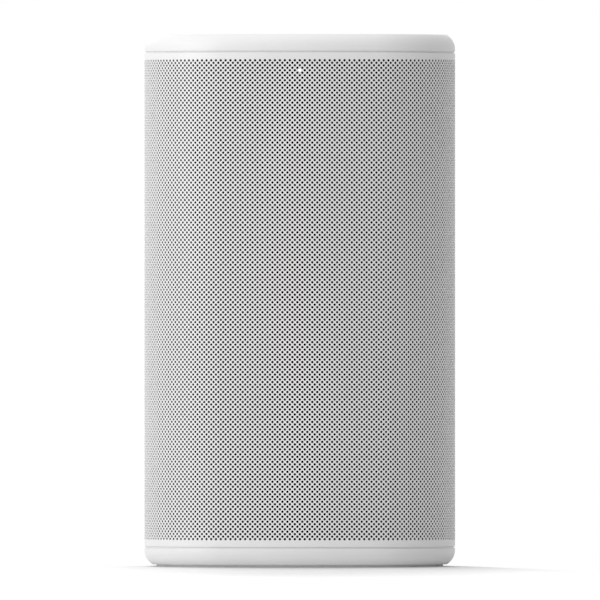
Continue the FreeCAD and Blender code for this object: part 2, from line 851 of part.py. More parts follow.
def lid_screw_places():
    low = CABINET_FLOOR + d.cabinet_wall + d.lid_screw_rise
    high = CABINET_TOP - d.cabinet_wall - d.lid_screw_rise
    return [(x, z) for x in (-LID_SCREW_X, LID_SCREW_X) for z in (low, LID_SCREW_MIDDLE, high)]


def lid_post_ribs(body):
    """Ribs that tie the middle posts to the side walls."""
    length = d.body_width / 2 - LID_SCREW_X
    for side in (-1, 1):
        middle = (LID_SCREW_X + length / 2) * side
        rib = facing(body, -LID_LEVEL).rectangle(length, d.lid_post_rib, middle, LID_SCREW_MIDDLE)
        pad(rib, d.lid_boss_length)


def frame_screw_places():
    x, y = d.frame_screw_x, d.frame_screw_y
    return [(a, b) for a in (x, -x) for b in (y, -y)]


def woofer_screw_places(level=ZERO):
    """Four places on the flange's diagonals, clear of the surround's lip."""
    reach = d.woofer_radius - d.screw_head_radius - d.thread_play
    x = reach * cosine(Size(45.0, "45"))
    return [(a, level + b) for a in (x, -x) for b in (x, -x)]


def driver_bosses(body):
    """Cups that reach from behind each flange out through the wall."""
    past = d.body_width / 2
    edge = d.driver_clearance + d.driver_wall
    sketch = WOOFER.sketch(body, WOOFER.reach - d.driver_seat)
    pad(sketch.circle(d.woofer_radius + edge), past)
    for seat in RADIATORS.values():
        sketch = seat.sketch(body, seat.reach - d.driver_seat)
        pad(sketch.slot(RADIATOR_WIDTH + edge * 2, RADIATOR_HEIGHT + edge * 2), past)
    for seat in TWEETERS.values():
        sketch = seat.sketch(body, seat.reach - d.driver_seat)
        pad(sketch.circle(d.tweeter_radius + edge), past)


def driver_openings(body):
    """The flange recesses, and the holes that the drivers pass through."""
    behind = d.driver_seat * 2
    play = d.driver_clearance
    cut(WOOFER.sketch(body, WOOFER.reach).circle(d.woofer_radius + play))
    hole = d.woofer_radius - d.woofer_rim + play
    cut(WOOFER.sketch(body, WOOFER.reach - behind).circle(hole), behind)
    for seat in RADIATORS.values():
        width, height = RADIATOR_WIDTH + play * 2, RADIATOR_HEIGHT + play * 2
        cut(seat.sketch(body, seat.reach).slot(width, height))
        rim = (d.radiator_rim + play) * 2
        cut(seat.sketch(body, seat.reach - behind).slot(width - rim, height - rim), behind)
    for seat in TWEETERS.values():
        cut(seat.sketch(body, seat.reach).circle(d.tweeter_radius + play))
        hole = d.tweeter_motor_radius + play
        cut(seat.sketch(body, seat.reach - behind).circle(hole), behind)
    pilots = circles(WOOFER.sketch(body, WOOFER.reach), BORE, woofer_screw_places())
    cut(pilots, d.driver_seat, back=True)


def front_cabinet():
    """The tub: battery bay below, sealed chamber above, and a seat for every driver."""
    body = new_body("front_cabinet")
    walls = flat(body, BAY_FLOOR).oval(CABINET_INSET).oval(CHAMBER_INSET)
    pad(walls, CABINET_TOP - BAY_FLOOR)
    pad(flat(body, CABINET_FLOOR).oval(CABINET_INSET), d.cabinet_wall)
    pad(flat(body, CABINET_TOP - d.cabinet_wall).oval(CABINET_INSET), d.cabinet_wall)
    driver_bosses(body)
    lid_post_ribs(body)
    trim_to_oval(body, CABINET_INSET)
    posts = circles(facing(body, -LID_LEVEL), d.boss_radius, lid_screw_places())
    pad(posts, d.lid_boss_length)
    depth = d.body_depth / 2 - LID_LEVEL
    behind = flat(body, CABINET_FLOOR)
    cut(behind.rectangle(d.body_width, depth, ZERO, LID_LEVEL + depth / 2), CABINET_HEIGHT)
    driver_openings(body)
    holes = circles(facing(body, -LID_LEVEL), BORE, lid_screw_places())
    cut(holes, d.lid_boss_length - d.cabinet_wall)
    feet = circles(flat(body, BAY_FLOOR), d.boss_radius, corners(d.base_screw_inset))
    pad(feet, CABINET_FLOOR - BAY_FLOOR)
    cut(circles(flat(body, BAY_FLOOR), BORE, corners(d.base_screw_inset)), d.base_screw_grip)
    roof = flat(body, CABINET_TOP - d.cabinet_wall)
    cut(circles(roof, THROUGH, frame_screw_places()), d.cabinet_wall)


def board_screw_places():
    x = BOARD_WIDTH / 2 - d.board_screw_inset
    z = BOARD_HEIGHT / 2 - d.board_screw_inset
    return [(a, BOARD_LEVEL + b) for a in (x, -x) for b in (z, -z)]


def rear_cabinet():
    """The flat lid of the tub, ribbed inside, with posts outside for the main board."""
    body = new_body("rear_cabinet")
    inner = LID_SIDE
    pad(flat(body, CABINET_FLOOR).oval(CABINET_INSET), CABINET_HEIGHT)
    ahead = d.body_depth / 2 + inner
    low = flat(body, CABINET_FLOOR)
    cut(low.rectangle(d.body_width, ahead, ZERO, inner - ahead / 2), CABINET_HEIGHT)
    depth = d.body_depth / 2
    low = flat(body, CABINET_FLOOR)
    cut(low.rectangle(d.body_width, depth, ZERO, LID_FACE + depth / 2), CABINET_HEIGHT)
    for share in (-1, 0, 1):
        level = WOOFER_LEVEL + (RADIATOR_HEIGHT / 4) * share
        rib = facing(body, -inner).rectangle(LID_RIB_LENGTH, d.lid_rib_width, ZERO, level)
        pad(rib, d.lid_rib_depth)
    posts = circles(facing(body, -LID_FACE), d.boss_radius, board_screw_places())
    pad(posts, d.spreader_thickness + d.spreader_gap, back=True)
    post_face = BOARD_FACE - d.board_thickness
    bores = circles(facing(body, -post_face), BORE, board_screw_places())
    cut(bores, d.lid_thickness + d.spreader_thickness - d.spreader_gap)
    cut(circles(facing(body, -LID_FACE), THROUGH, lid_screw_places()), d.lid_thickness)


def cabinet_seal():
    """The gasket between tub and lid."""
    body = new_body("cabinet_seal")
    reach = SIDE_RADIUS - CABINET_INSET
    half = d.body_width / 2 - SIDE_RADIUS + root(reach * reach - LID_SIDE * LID_SIDE)
    width = (half - d.seal_thickness) * 2
    height = CABINET_HEIGHT - d.seal_thickness * 2
    middle = (CABINET_TOP + CABINET_FLOOR) / 2
    band = facing(body, -LID_LEVEL).rectangle(width, height, ZERO, middle)
    band.rectangle(width - d.seal_width * 2, height - d.seal_width * 2, ZERO, middle)
    pad(band, d.seal_thickness, back=True)


# ---------------------------------------------------------------------------------------------
# Woofer
# ---------------------------------------------------------------------------------------------

FLANGE_FACE = -(WOOFER_SEAT + d.woofer_flange)
BASKET_TOP = d.woofer_radius - d.woofer_rim
BASKET_END = d.basket_depth - WOOFER_SEAT
FORMER_INNER = d.pole_radius + d.coil_gap
FORMER_OUTER = FORMER_INNER + d.former_wall
PLATE_HOLE = FORMER_OUTER + d.coil_gap
ROLL_MIDDLE = BASKET_TOP - d.basket_wall - d.roll_radius + d.lip_width
CONE_EDGE = ROLL_MIDDLE - d.roll_radius
NECK = FLANGE_FACE + d.cone_depth
SPIDER_FACE = d.spider_setback - WOOFER_SEAT


def basket_radius(level):
    """The outer radius of the basket's cone at a depth."""
    run = (level - (-WOOFER_SEAT)) / d.basket_depth
    return BASKET_TOP - (BASKET_TOP - d.motor_radius - d.basket_wall) * run


def woofer_frame():
    """The basket: flange, sloping wall with six windows, spider ledge and back ring."""
    body = WOOFER.body("woofer_frame")
    wall, seat = d.basket_wall, -WOOFER_SEAT
    ledge, ledge_back = SPIDER_FACE + d.spider_thickness, SPIDER_FACE + d.spider_thickness * 4
    back = BASKET_END - wall
    section = flat(body).outline([
        (BASKET_TOP - wall, FLANGE_FACE),
        (d.woofer_radius, FLANGE_FACE),
        (d.woofer_radius, seat),
        (BASKET_TOP, seat),
        (basket_radius(BASKET_END), BASKET_END),
        (PLATE_HOLE, BASKET_END),
        (PLATE_HOLE, back),
        (basket_radius(back) - wall, back),
        (basket_radius(ledge_back) - wall, ledge_back),
        (basket_radius(ledge_back) - wall * 2, ledge_back),
        (basket_radius(ledge_back) - wall * 2, ledge),
        (basket_radius(ledge) - wall, ledge),
        (BASKET_TOP - wall, seat),
    ])
    revolve(section)
    middle = basket_radius(SPIDER_FACE) + d.basket_window - wall
    windows = facing(body, WOOFER_SEAT - wall)
    for number in range(6):
        angle = Size(60.0 * number, str(60.0 * number))
        windows.circle(d.basket_window, middle * cosine(angle), middle * sine(angle))
    cut(windows, d.basket_depth - wall * 2, back=True)
    cut(circles(facing(body, -seat), THROUGH, woofer_screw_places()), d.woofer_flange)


def ring(body, level, outer, inner, thickness):
    """A flat ring about the driver's axis, from level backwards."""
    profile = facing(body, -level).circle(outer)
    if inner:
        profile.circle(inner)
    pad(profile, thickness, back=True)


def woofer_motor():
    plate_back = BASKET_END + d.top_plate_thickness
    magnet_back = plate_back + d.magnet_thickness
    ring(WOOFER.body("woofer_top_plate"), BASKET_END, d.motor_radius, PLATE_HOLE, d.top_plate_thickness)
    magnet = WOOFER.body("woofer_magnet")
    ring(magnet, plate_back, d.motor_radius + d.magnet_extra, d.pole_radius * 1.25, d.magnet_thickness)
    yoke = WOOFER.body("woofer_yoke")
    ring(yoke, magnet_back, d.motor_radius, d.pole_vent, d.yoke_thickness)
    ring(yoke, BASKET_END, d.pole_radius, d.pole_vent, magnet_back - BASKET_END)


def woofer_diaphragm():
    """Cone, dust cap and voice coil, which move as one."""
    body = WOOFER.body("woofer_cone")
    skin = d.cone_thickness
    revolve(flat(body).outline([
        (CONE_EDGE, FLANGE_FACE),
        (CONE_EDGE, FLANGE_FACE + skin),
        (CONE_EDGE - d.lip_width, FLANGE_FACE + skin),
        (FORMER_INNER, NECK + skin),
        (FORMER_INNER, NECK),
        (CONE_EDGE - d.lip_width, FLANGE_FACE),
    ]))
    body = WOOFER.body("woofer_dust_cap")
    share = d.former_wall * 2
    slope = d.cone_depth / (CONE_EDGE - d.lip_width - FORMER_INNER)
    level = NECK - slope * share
    revolve(flat(body).dome(FORMER_INNER + share, d.dust_cap_rise, d.former_wall, level))
    body = WOOFER.body("woofer_voice_coil")
    ring(body, NECK + skin, FORMER_OUTER, FORMER_INNER, d.former_length - d.coil_overhang)


def woofer_suspension():
    body = WOOFER.body("woofer_surround")
    section = flat(body)
    section.roll(ROLL_MIDDLE, d.roll_radius, d.roll_thickness, d.lip_width, FLANGE_FACE)
    revolve(section)
    body = WOOFER.body("woofer_spider")
    outer = basket_radius(SPIDER_FACE) - d.basket_wall - d.coil_gap
    inner = FORMER_OUTER + d.thread_play
    step = (outer - inner) / 8
    face, back = [], []
    for number in range(9):
        x = inner + step * number
        wave = d.spider_wave if number % 2 else ZERO
        face.append((x, SPIDER_FACE - wave))
        back.append((x, SPIDER_FACE - wave + d.spider_thickness))
    revolve(flat(body).outline(face + back[::-1]))


# ---------------------------------------------------------------------------------------------
# Passive radiators and tweeters
# ---------------------------------------------------------------------------------------------


def passive_radiator(side):
    """A racetrack frame, a half-roll surround and a weighted plate."""
    seat = RADIATORS[side]
    face = -(RADIATOR_SEAT + d.radiator_flange)
    width, height = RADIATOR_WIDTH, RADIATOR_HEIGHT
    body = seat.body(f"{side}_radiator_frame")
    rim = d.radiator_rim * 2
    band = facing(body, RADIATOR_SEAT).slot(width, height)
    pad(band.slot(width - rim, height - rim), d.radiator_flange)
    middle = width / 2 - d.radiator_rim - d.radiator_roll + d.roll_thickness
    track = middle * 2, height - width + middle * 2
    body = seat.body(f"{side}_radiator_surround")
    section = flat(body)
    section.roll(middle, d.radiator_roll, d.roll_thickness, d.lip_width, face)
    sweep(section, facing(body, -face).slot(*track))
    body = seat.body(f"{side}_radiator_plate")
    shrink = (d.radiator_roll - d.roll_thickness) * 2
    plate = facing(body, -face).slot(track[0] - shrink, track[1] - shrink)
    pad(plate, d.radiator_plate, back=True)
    lip = shrink + (d.lip_width + d.radiator_weight_inset) * 2
    pad(facing(body, -face).slot(track[0] - lip, track[1] - lip), d.radiator_weight)


def tweeter(side):
    """A short horn, a dome with its voice coil, and the motor behind them."""
    seat = TWEETERS[side]
    throat = d.tweeter_dome_radius + d.tweeter_gap
    near, face = -TWEETER_SEAT, -(TWEETER_SEAT + d.tweeter_flange)
    body = seat.body(f"{side}_tweeter_horn")
    mouth = d.tweeter_radius - d.tweeter_flange / 2
    revolve(flat(body).outline([
        (throat, near), (d.tweeter_radius, near), (d.tweeter_radius, face), (mouth, face),
    ]))
    body = seat.body(f"{side}_tweeter_motor")
    ring(body, near, d.tweeter_motor_radius, None, d.tweeter_motor_depth)
    wide = d.tweeter_dome_radius + d.tweeter_gap
    slim = d.tweeter_dome_radius - d.tweeter_dome_wall - d.tweeter_gap
    cut(facing(body, -near).circle(wide).circle(slim), d.tweeter_coil_length * 2, back=True)
    body = seat.body(f"{side}_tweeter_dome")
    level = near - d.tweeter_gap
    rise, wall = d.tweeter_dome_rise, d.tweeter_dome_wall
    revolve(flat(body).dome(d.tweeter_dome_radius, rise, wall, level))
    former = d.tweeter_dome_radius - wall
    ring(body, level, d.tweeter_dome_radius, former, d.tweeter_coil_length + d.tweeter_gap)


# ---------------------------------------------------------------------------------------------
# Rear electronics and control panel
# ---------------------------------------------------------------------------------------------

PANEL_INSIDE = d.body_depth / 2 - d.panel_face
POWER_LEVEL = PANEL_LEVEL - d.power_key_drop
BLUETOOTH_LEVEL = POWER_LEVEL + d.rear_key_pitch
MUTE_LEVEL = PANEL_LEVEL + d.panel_height / 2 - d.mute_end_space
USB_LEVEL = PANEL_LEVEL - d.panel_height / 2 + d.usb_end_space
SWITCH_FACE = BOARD_FACE + d.rear_switch_height
KEY_FACE = d.body_depth / 2 - d.rear_key_recess
FLANGE_FRONT = PANEL_INSIDE - d.key_gap


def rear_pad(body, level, draw, thickness):
    """Material from level towards the back of the speaker."""
    profile = facing(body, -level)
    draw(profile)
    return pad(profile, thickness, back=True)


def main_electronics():
    body = new_body("heat_spreader")
    rear_pad(
        body, LID_FACE,
        lambda p: p.rectangle(d.spreader_width, d.spreader_height, ZERO, BOARD_LEVEL),
        d.spreader_thickness,
    )
    body = new_body("main_board")
    level = BOARD_FACE - d.board_thickness
    outline = facing(body, -level).rectangle(BOARD_WIDTH, BOARD_HEIGHT, ZERO, BOARD_LEVEL)
    pad(circles(outline, THROUGH, board_screw_places()), d.board_thickness, back=True)
    body = new_body("shield_cans")
    half = d.shield_pitch / 2
    places = [(x, BOARD_LEVEL + z) for x in (-SHIELD_X, SHIELD_X) for z in (-half, half)]
    cans, hollows = facing(body, -BOARD_FACE), facing(body, -BOARD_FACE)
    wall = d.shield_wall * 2
    for x, z in places:
        cans.rectangle(d.shield_width, d.shield_height, x, z)
        hollows.rectangle(d.shield_width - wall, d.shield_height - wall, x, z)
    pad(cans, d.shield_depth, back=True)
    cut(hollows, d.shield_depth - d.shield_wall, back=True)


def rear_panel():
    """The control panel: a face flush with the sleeve, and a flange that sits behind it."""
    body = new_body("rear_panel")
    width, height, level = d.panel_width, d.panel_height, PANEL_LEVEL
    past = d.body_depth / 2
    flange = d.panel_flange * 2
    rear_pad(body, PANEL_BACK, lambda p: p.slot(width + flange, height + flange, ZERO, level), past)
    trim_to_oval(body, SKIRT_INSET)
    rear_pad(body, PANEL_BACK, lambda p: p.slot(width, height, ZERO, level), past)
    trim_to_oval(body, ZERO)
    rim = d.panel_rim * 2
    hollow = facing(body, -PANEL_BACK).slot(width - rim, height - rim, ZERO, level)
    cut(hollow, PANEL_INSIDE - PANEL_BACK, back=True)
    through = facing(body, -PANEL_BACK)
    for key_level in (POWER_LEVEL, BLUETOOTH_LEVEL):
        through.circle(d.rear_key_radius + d.key_gap, ZERO, key_level)
    gap = d.key_gap * 2
    through.slot(d.usb_width + gap, d.usb_height + gap, ZERO, USB_LEVEL)
    middle = MUTE_LEVEL - d.mute_travel / 2
    through.slot(d.mute_width + gap, d.mute_length + d.mute_travel + gap, ZERO, middle)
    cut(through, back=True)


def panel_seal():
    """The gasket between the panel's flange and the inside of the sleeve."""
    body = new_body("panel_seal")
    flange, gap = d.panel_flange * 2, d.panel_gap * 2
    band = facing(body, -PANEL_BACK)
    band.slot(d.panel_width + flange, d.panel_height + flange, ZERO, PANEL_LEVEL)
    band.slot(d.panel_width + gap, d.panel_height + gap, ZERO, PANEL_LEVEL)
    pad(band, d.body_depth / 2, back=True)
    trim_to_oval(body, d.grille_wall + d.thread_play)
    cut(flat(body, -d.body_height).oval(SKIRT_INSET - d.thread_play))


def rear_keys():
    """Push keys: a cap in the panel's hole, a flange behind it and a stem into the switch."""
    for label, level in (("power_key", POWER_LEVEL), ("bluetooth_key", BLUETOOTH_LEVEL)):
        body = new_body(label)
        back = FLANGE_FRONT - d.key_flange_thickness
        rear_pad(body, back, lambda p: p.circle(d.rear_key_radius, ZERO, level), KEY_FACE - back)
        wide = d.rear_key_radius + d.rear_key_flange
        rear_pad(body, back, lambda p: p.circle(wide, ZERO, level), d.key_flange_thickness)
        tip = SWITCH_FACE - d.stem_entry
        rear_pad(body, tip, lambda p: p.circle(d.stem_radius, ZERO, level), back - tip)


def microphone_switch():
    """The sliding knob with a plate that keeps its slot covered."""
    body = new_body("microphone_switch")
    back = FLANGE_FRONT - d.key_flange_thickness
    face = d.body_depth / 2 - d.mute_recess
    width, length = d.mute_width, d.mute_length
    rear_pad(body, back, lambda p: p.slot(width, length, ZERO, MUTE_LEVEL), face - back)
    cover = (d.mute_travel + d.mute_cover) * 2
    rear_pad(
        body, back,
        lambda p: p.rectangle(width + d.mute_cover * 4, length + cover, ZERO, MUTE_LEVEL),
        d.key_flange_thickness,
    )
    foot = SWITCH_FACE + d.stem_gap
    rear_pad(body, foot, lambda p: p.rectangle(width, width, ZERO, MUTE_LEVEL), back - foot)


def rear_switches():
    """Two push switches with a well for the key's stem, and the slide switch's case."""
    body = new_body("rear_switches")
    side = d.switch_side
    cases, wells = facing(body, -BOARD_FACE), facing(body, -(SWITCH_FACE - d.switch_well))
    for level in (POWER_LEVEL, BLUETOOTH_LEVEL):
        cases.rectangle(side, side, ZERO, level)
        wells.circle(STEM_WELL, ZERO, level)
    length = d.mute_length + d.mute_travel * 2
    cases.rectangle(side, length, ZERO, MUTE_LEVEL - d.mute_travel / 2)
    pad(cases, d.rear_switch_height, back=True)
    cut(wells, back=True)


def usb_socket():
    """The charging inlet: an open shell with its tongue."""
    body = new_body("usb_socket")
    wall = d.usb_wall * 2
    depth = d.body_depth / 2 - d.usb_recess - BOARD_FACE
    width, height = d.usb_width, d.usb_height
    rear_pad(body, BOARD_FACE, lambda p: p.slot(width, height, ZERO, USB_LEVEL), depth)
    base = BOARD_FACE + d.usb_wall * 2
    hollow = facing(body, -base).slot(width - wall, height - wall, ZERO, USB_LEVEL)
    cut(hollow, back=True)
    tongue = depth - d.usb_wall * 2 - d.usb_tongue_setback
    rear_pad(
        body, base,
        lambda p: p.rectangle(d.usb_tongue_width, d.usb_tongue_height, ZERO, USB_LEVEL),
        tongue,
    )


# ---------------------------------------------------------------------------------------------
# Top controls
# ---------------------------------------------------------------------------------------------

TOP_SWITCH_FACE = BOARD_TOP + d.top_switch_height
TOP_FLANGE = CAP_UNDERSIDE - d.key_gap
LIGHT_LEVEL = TOP_SEAM - d.light_drop


def top_frame():
    """The tray that carries the control board, with posts for the cap's screws."""
    body = new_body("top_frame")
    high = TOP_SEAM - d.frame_rim_drop
    pad(flat(body, FRAME_FLOOR).oval(CABINET_INSET), high - FRAME_FLOOR)
    inside = FRAME_FLOOR + d.frame_floor
    cut(flat(body, inside).oval(CABINET_INSET + d.frame_wall))
    posts = circles(flat(body, inside), d.boss_radius, corners(CAP_POSTS))
    pad(posts, BOARD_UNDERSIDE - inside)
    pad(circles(flat(body, inside), d.boss_radius, frame_screw_places()), d.frame_boss_height)
    cut(circles(flat(body, FRAME_FLOOR), BORE, frame_screw_places()), d.frame_boss_height)
    cut(circles(flat(body, FRAME_FLOOR), THROUGH, corners(CAP_POSTS)))
    heads = circles(flat(body, FRAME_FLOOR), HEAD_BORE, corners(CAP_POSTS))
    cut(heads, d.screw_head_height + d.screw_clearance)
    cut(facing(body).circle(d.light_radius + d.light_play, ZERO, LIGHT_LEVEL))


def top_seal():
    body = new_body("top_seal")
    inner = CABINET_INSET + d.cabinet_wall
    band = flat(body, CABINET_TOP).oval(CABINET_INSET + d.seal_thickness).oval(inner)
    pad(band, d.top_seal_thickness)


def control_board():
    body = new_body("control_board")
    outline = flat(body, BOARD_UNDERSIDE).oval(CABINET_INSET + d.frame_wall + d.shell_clearance)
    pad(circles(outline, THROUGH, corners(CAP_POSTS)), d.control_board_thickness)
    body = new_body("key_switches")
    cases = flat(body, BOARD_TOP)
    wells = flat(body, TOP_SWITCH_FACE - d.switch_well)
    for x in keys_row():
        cases.rectangle(d.switch_side, d.switch_side, x, ZERO)
        wells.circle(STEM_WELL, x, ZERO)
    pad(cases, d.top_switch_height)
    cut(wells)
    body = new_body("microphones")
    cans = flat(body, BOARD_TOP)
    for x, y in microphone_places():
        cans.rectangle(d.mic_length, d.mic_width, x, y)
    pad(cans, d.mic_height)


def top_keys():
    """Four round keys, each with a flange under the cap and a stem into its switch."""
    for label, x in zip(("voice_key", "minus_key", "play_key", "plus_key"), keys_row()):
        body = new_body(label)
        flange = TOP_FLANGE - d.key_flange_thickness
        top = d.body_height - d.dish_depth + d.key_proud
        pad(flat(body, flange).circle(d.key_radius, x), top - flange)
        round_edges(body, d.key_edge, lies_at(top), "Chamfer")
        pad(flat(body, flange).circle(d.key_radius + d.key_flange, x), d.key_flange_thickness)
        tip = TOP_SWITCH_FACE - d.stem_entry
        pad(flat(body, tip).circle(d.stem_radius, x), flange - tip)


def status_light():
    """The light guide: a rod to the front, and a block that turns the light of the lamp above."""
    body = new_body("status_light_guide")
    front = d.body_depth / 2
    pad(facing(body, front - d.light_reach).circle(d.light_radius, ZERO, LIGHT_LEVEL), d.light_reach)
    block = d.light_block
    back = front - d.light_reach - block
    top = BOARD_UNDERSIDE - d.led_height - d.light_gap
    low = LIGHT_LEVEL - block / 2
    side = Profile(body, "YZ_Plane", -(block / 2)).outline([
        (-(back + block), low), (-(back + block / 2), low), (-back, low + block / 2),
        (-back, top), (-(back + block), top),
    ])
    pad(side, block)
    body = new_body("status_lamp")
    lamp = flat(body, BOARD_UNDERSIDE - d.led_height)
    pad(lamp.rectangle(d.led_width, d.led_width, ZERO, -(back + block / 2)), d.led_height)


def antennas():
    """Two upright antenna plates at the ends of the tray."""
    body = new_body("antennas")
    level = FRAME_FLOOR + d.frame_floor
    x = d.body_width / 2 - d.antenna_setback
    plates = flat(body, level)
    for place in (x, -x):
        plates.rectangle(d.antenna_thickness, d.antenna_length, place, ZERO)
    pad(plates, d.antenna_height)


# ---------------------------------------------------------------------------------------------
# Screws
# ---------------------------------------------------------------------------------------------


def screws(body, sketch, level, places, length):
    """Cheese-head screws: level is the underside of the heads, on the side the shanks point to."""
    pad(circles(sketch(body, level), d.screw_head_radius, places), d.screw_head_height, back=True)
    pad(circles(sketch(body, level), d.screw_radius, places), length)


def all_screws():
    grip = d.cabinet_wall
    seat = FOOT_GROOVE + d.head_recess
    length = BAY_FLOOR + d.base_screw_grip - seat - grip
    screws(new_body("base_screws"), flat, seat, corners(d.base_screw_inset), length)
    body = new_body("rear_screws")
    length = d.lid_thickness + d.seal_thickness + d.lid_boss_length - grip * 2
    screws(body, facing, -LID_FACE, lid_screw_places(), length)
    length = d.board_thickness + d.spreader_thickness + d.spreader_gap + grip / 2
    screws(body, facing, -BOARD_FACE, board_screw_places(), length)
    body = WOOFER.body("woofer_screws")
    places = woofer_screw_places()
    face = facing(body, -FLANGE_FACE)
    pad(circles(face, d.screw_head_radius, places), d.screw_head_height)
    face = facing(body, -FLANGE_FACE)
    length = d.woofer_flange + d.driver_seat
    pad(circles(face, d.screw_radius, places), length, back=True)
    body = new_body("top_screws")
    roof = CABINET_TOP - d.cabinet_wall
    screws(body, flat, roof, frame_screw_places(), d.frame_screw_grip - d.spreader_gap)
    seat = FRAME_FLOOR + d.screw_head_height + d.screw_clearance
    length = BOARD_TOP + d.cap_screw_grip - seat - d.key_gap
    screws(body, flat, seat, corners(CAP_POSTS), length)


# ---------------------------------------------------------------------------------------------
# Build and write
# ---------------------------------------------------------------------------------------------


def build():
    grille()
    acoustic_cloth()
    top_cap()
    base_cap()
    foot_ring()
    charging_parts()
    base_frame()
    battery()
    front_cabinet()
    rear_cabinet()
    cabinet_seal()
    woofer_frame()
    woofer_motor()
    woofer_diaphragm()
    woofer_suspension()
    for side in ("left", "right"):
        passive_radiator(side)
        tweeter(side)
    main_electronics()
    rear_panel()
    panel_seal()
    rear_keys()
    microphone_switch()
    rear_switches()
    usb_socket()
    top_frame()
    top_seal()
    control_board()
    top_keys()
    status_light()
    antennas()
    all_screws()


def check():
    document.recompute()
    for item in document.Objects:
        if "Invalid" in item.State or "Error" in item.State:
            raise RuntimeError(f"{item.Label} did not compute")
    for body in BODIES:
        if body.Shape.isNull() or not body.Shape.isValid():
            raise RuntimeError(f"{body.Label} has no valid shape")


def write():
    os.makedirs("parts", exist_ok=True)
    for body in BODIES:
        body.Shape.exportStep(os.path.join("parts", f"{body.Label}.step"))


build()
check()
write()
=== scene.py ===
"""Looks of a portable smart speaker: perforated sleeve, seams, signs, finishes and stage."""

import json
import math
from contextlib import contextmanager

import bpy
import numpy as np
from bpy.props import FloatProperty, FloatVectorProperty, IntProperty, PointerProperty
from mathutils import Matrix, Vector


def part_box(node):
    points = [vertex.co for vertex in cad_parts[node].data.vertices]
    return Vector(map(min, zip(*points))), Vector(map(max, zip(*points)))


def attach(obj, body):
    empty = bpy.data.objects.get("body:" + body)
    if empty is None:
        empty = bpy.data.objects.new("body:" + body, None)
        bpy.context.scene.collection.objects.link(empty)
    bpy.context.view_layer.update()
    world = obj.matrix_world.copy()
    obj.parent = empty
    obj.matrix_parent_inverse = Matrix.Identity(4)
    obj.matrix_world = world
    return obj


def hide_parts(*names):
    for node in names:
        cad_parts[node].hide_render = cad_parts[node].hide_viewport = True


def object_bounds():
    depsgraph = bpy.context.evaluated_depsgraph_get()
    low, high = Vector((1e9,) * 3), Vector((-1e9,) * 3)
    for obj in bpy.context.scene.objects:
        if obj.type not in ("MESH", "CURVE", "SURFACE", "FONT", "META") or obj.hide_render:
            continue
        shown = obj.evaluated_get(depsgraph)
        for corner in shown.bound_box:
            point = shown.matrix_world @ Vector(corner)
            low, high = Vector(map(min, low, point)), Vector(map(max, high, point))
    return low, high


bl_info = {
    "name": "Smart speaker looks",
    "version": (1, 0, 0),
    "blender": (4, 5, 0),
    "location": "3D View > Sidebar > Speaker",
    "description": "Dresses the packed model of a portable smart speaker and sets its stage",
    "category": "Add Mesh",
}

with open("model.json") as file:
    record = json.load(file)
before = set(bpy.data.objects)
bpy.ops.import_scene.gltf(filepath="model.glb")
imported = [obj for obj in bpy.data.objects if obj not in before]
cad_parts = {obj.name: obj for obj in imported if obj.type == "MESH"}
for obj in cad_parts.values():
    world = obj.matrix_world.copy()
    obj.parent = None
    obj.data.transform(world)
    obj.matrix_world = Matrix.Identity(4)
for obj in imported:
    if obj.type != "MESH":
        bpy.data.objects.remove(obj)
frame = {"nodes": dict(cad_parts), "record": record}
CAD_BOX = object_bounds()

BODY = "speaker_body"
MM = 0.001
CLOSE = 0.01  # Places nearer to each other than this, in millimetres, are one place
UP, BACK, RIGHT = Vector((0, 0, 1)), Vector((0, 1, 0)), Vector((1, 0, 0))
MIDDLE = (Vector(CAD_BOX[0]) + Vector(CAD_BOX[1])) / 2


def box_mm(node):
    """A node's lowest and highest corner in millimetres."""
    low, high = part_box(node)
    return low / MM, high / MM


def face_mm(node, axis):
    """The middle of a node's far side along x, y or z, in millimetres."""
    low, high = box_mm(node)
    middle = (low + high) / 2
    setattr(middle, axis, getattr(high, axis))
    return middle


# ---------------------------------------------------------------------------------------------
# Sizes and colours that a user would change
# ---------------------------------------------------------------------------------------------


def whole(name, description, default):
    return IntProperty(name=name, description=description, default=default, min=1)


def length(name, description, default):
    return FloatProperty(
        name=name, description=description, default=default, unit="LENGTH", precision=6
    )


def watts(name, description, default):
    return FloatProperty(
        name=name, description=description, default=default, unit="POWER", min=0.0
    )


def colour(name, description, default):
    return FloatVectorProperty(
        name=name, description=description, default=default, subtype="COLOR", min=0.0, max=1.0
    )


def share(name, description, default):
    return FloatProperty(
        name=name, description=description, default=default, subtype="FACTOR", min=0.0, max=1.0
    )


class SleeveSizes(bpy.types.PropertyGroup):
    """The perforated sleeve and the seams at its two ends."""

    columns: whole("Columns", "Holes in one row all the way round", 171)
    rows: whole("Rows", "Rows of holes, one above the other", 193)
    bands: whole("Bands", "Pieces that the sleeve is split into, one above the other", 6)
    row_rise: length("Row rise", "Distance from one row of holes to the next", 0.0009)
    first_row: length("First row", "How far the top row lies below the sleeve's edge", 0.00295)
    hole_radius: length("Hole radius", "Radius of one hole, to its corners", 0.000476)
    wall: length("Wall", "Thickness of the sleeve", 0.0014)
    edge_radius: length("Edge radius", "Rounding of the sleeve's two ends", 0.00035)
    flatness: length("Flatness", "How much tighter the side arcs are than half the depth", 0.00235)
    window_rim: length("Window rim", "Solid rim round the window in the back", 0.0012)
    window_gap: length("Window gap", "Gap between the window and the panel in it", 0.0003)
    seam_depth: length("Seam depth", "How far the seams lie below the surface", 0.00045)


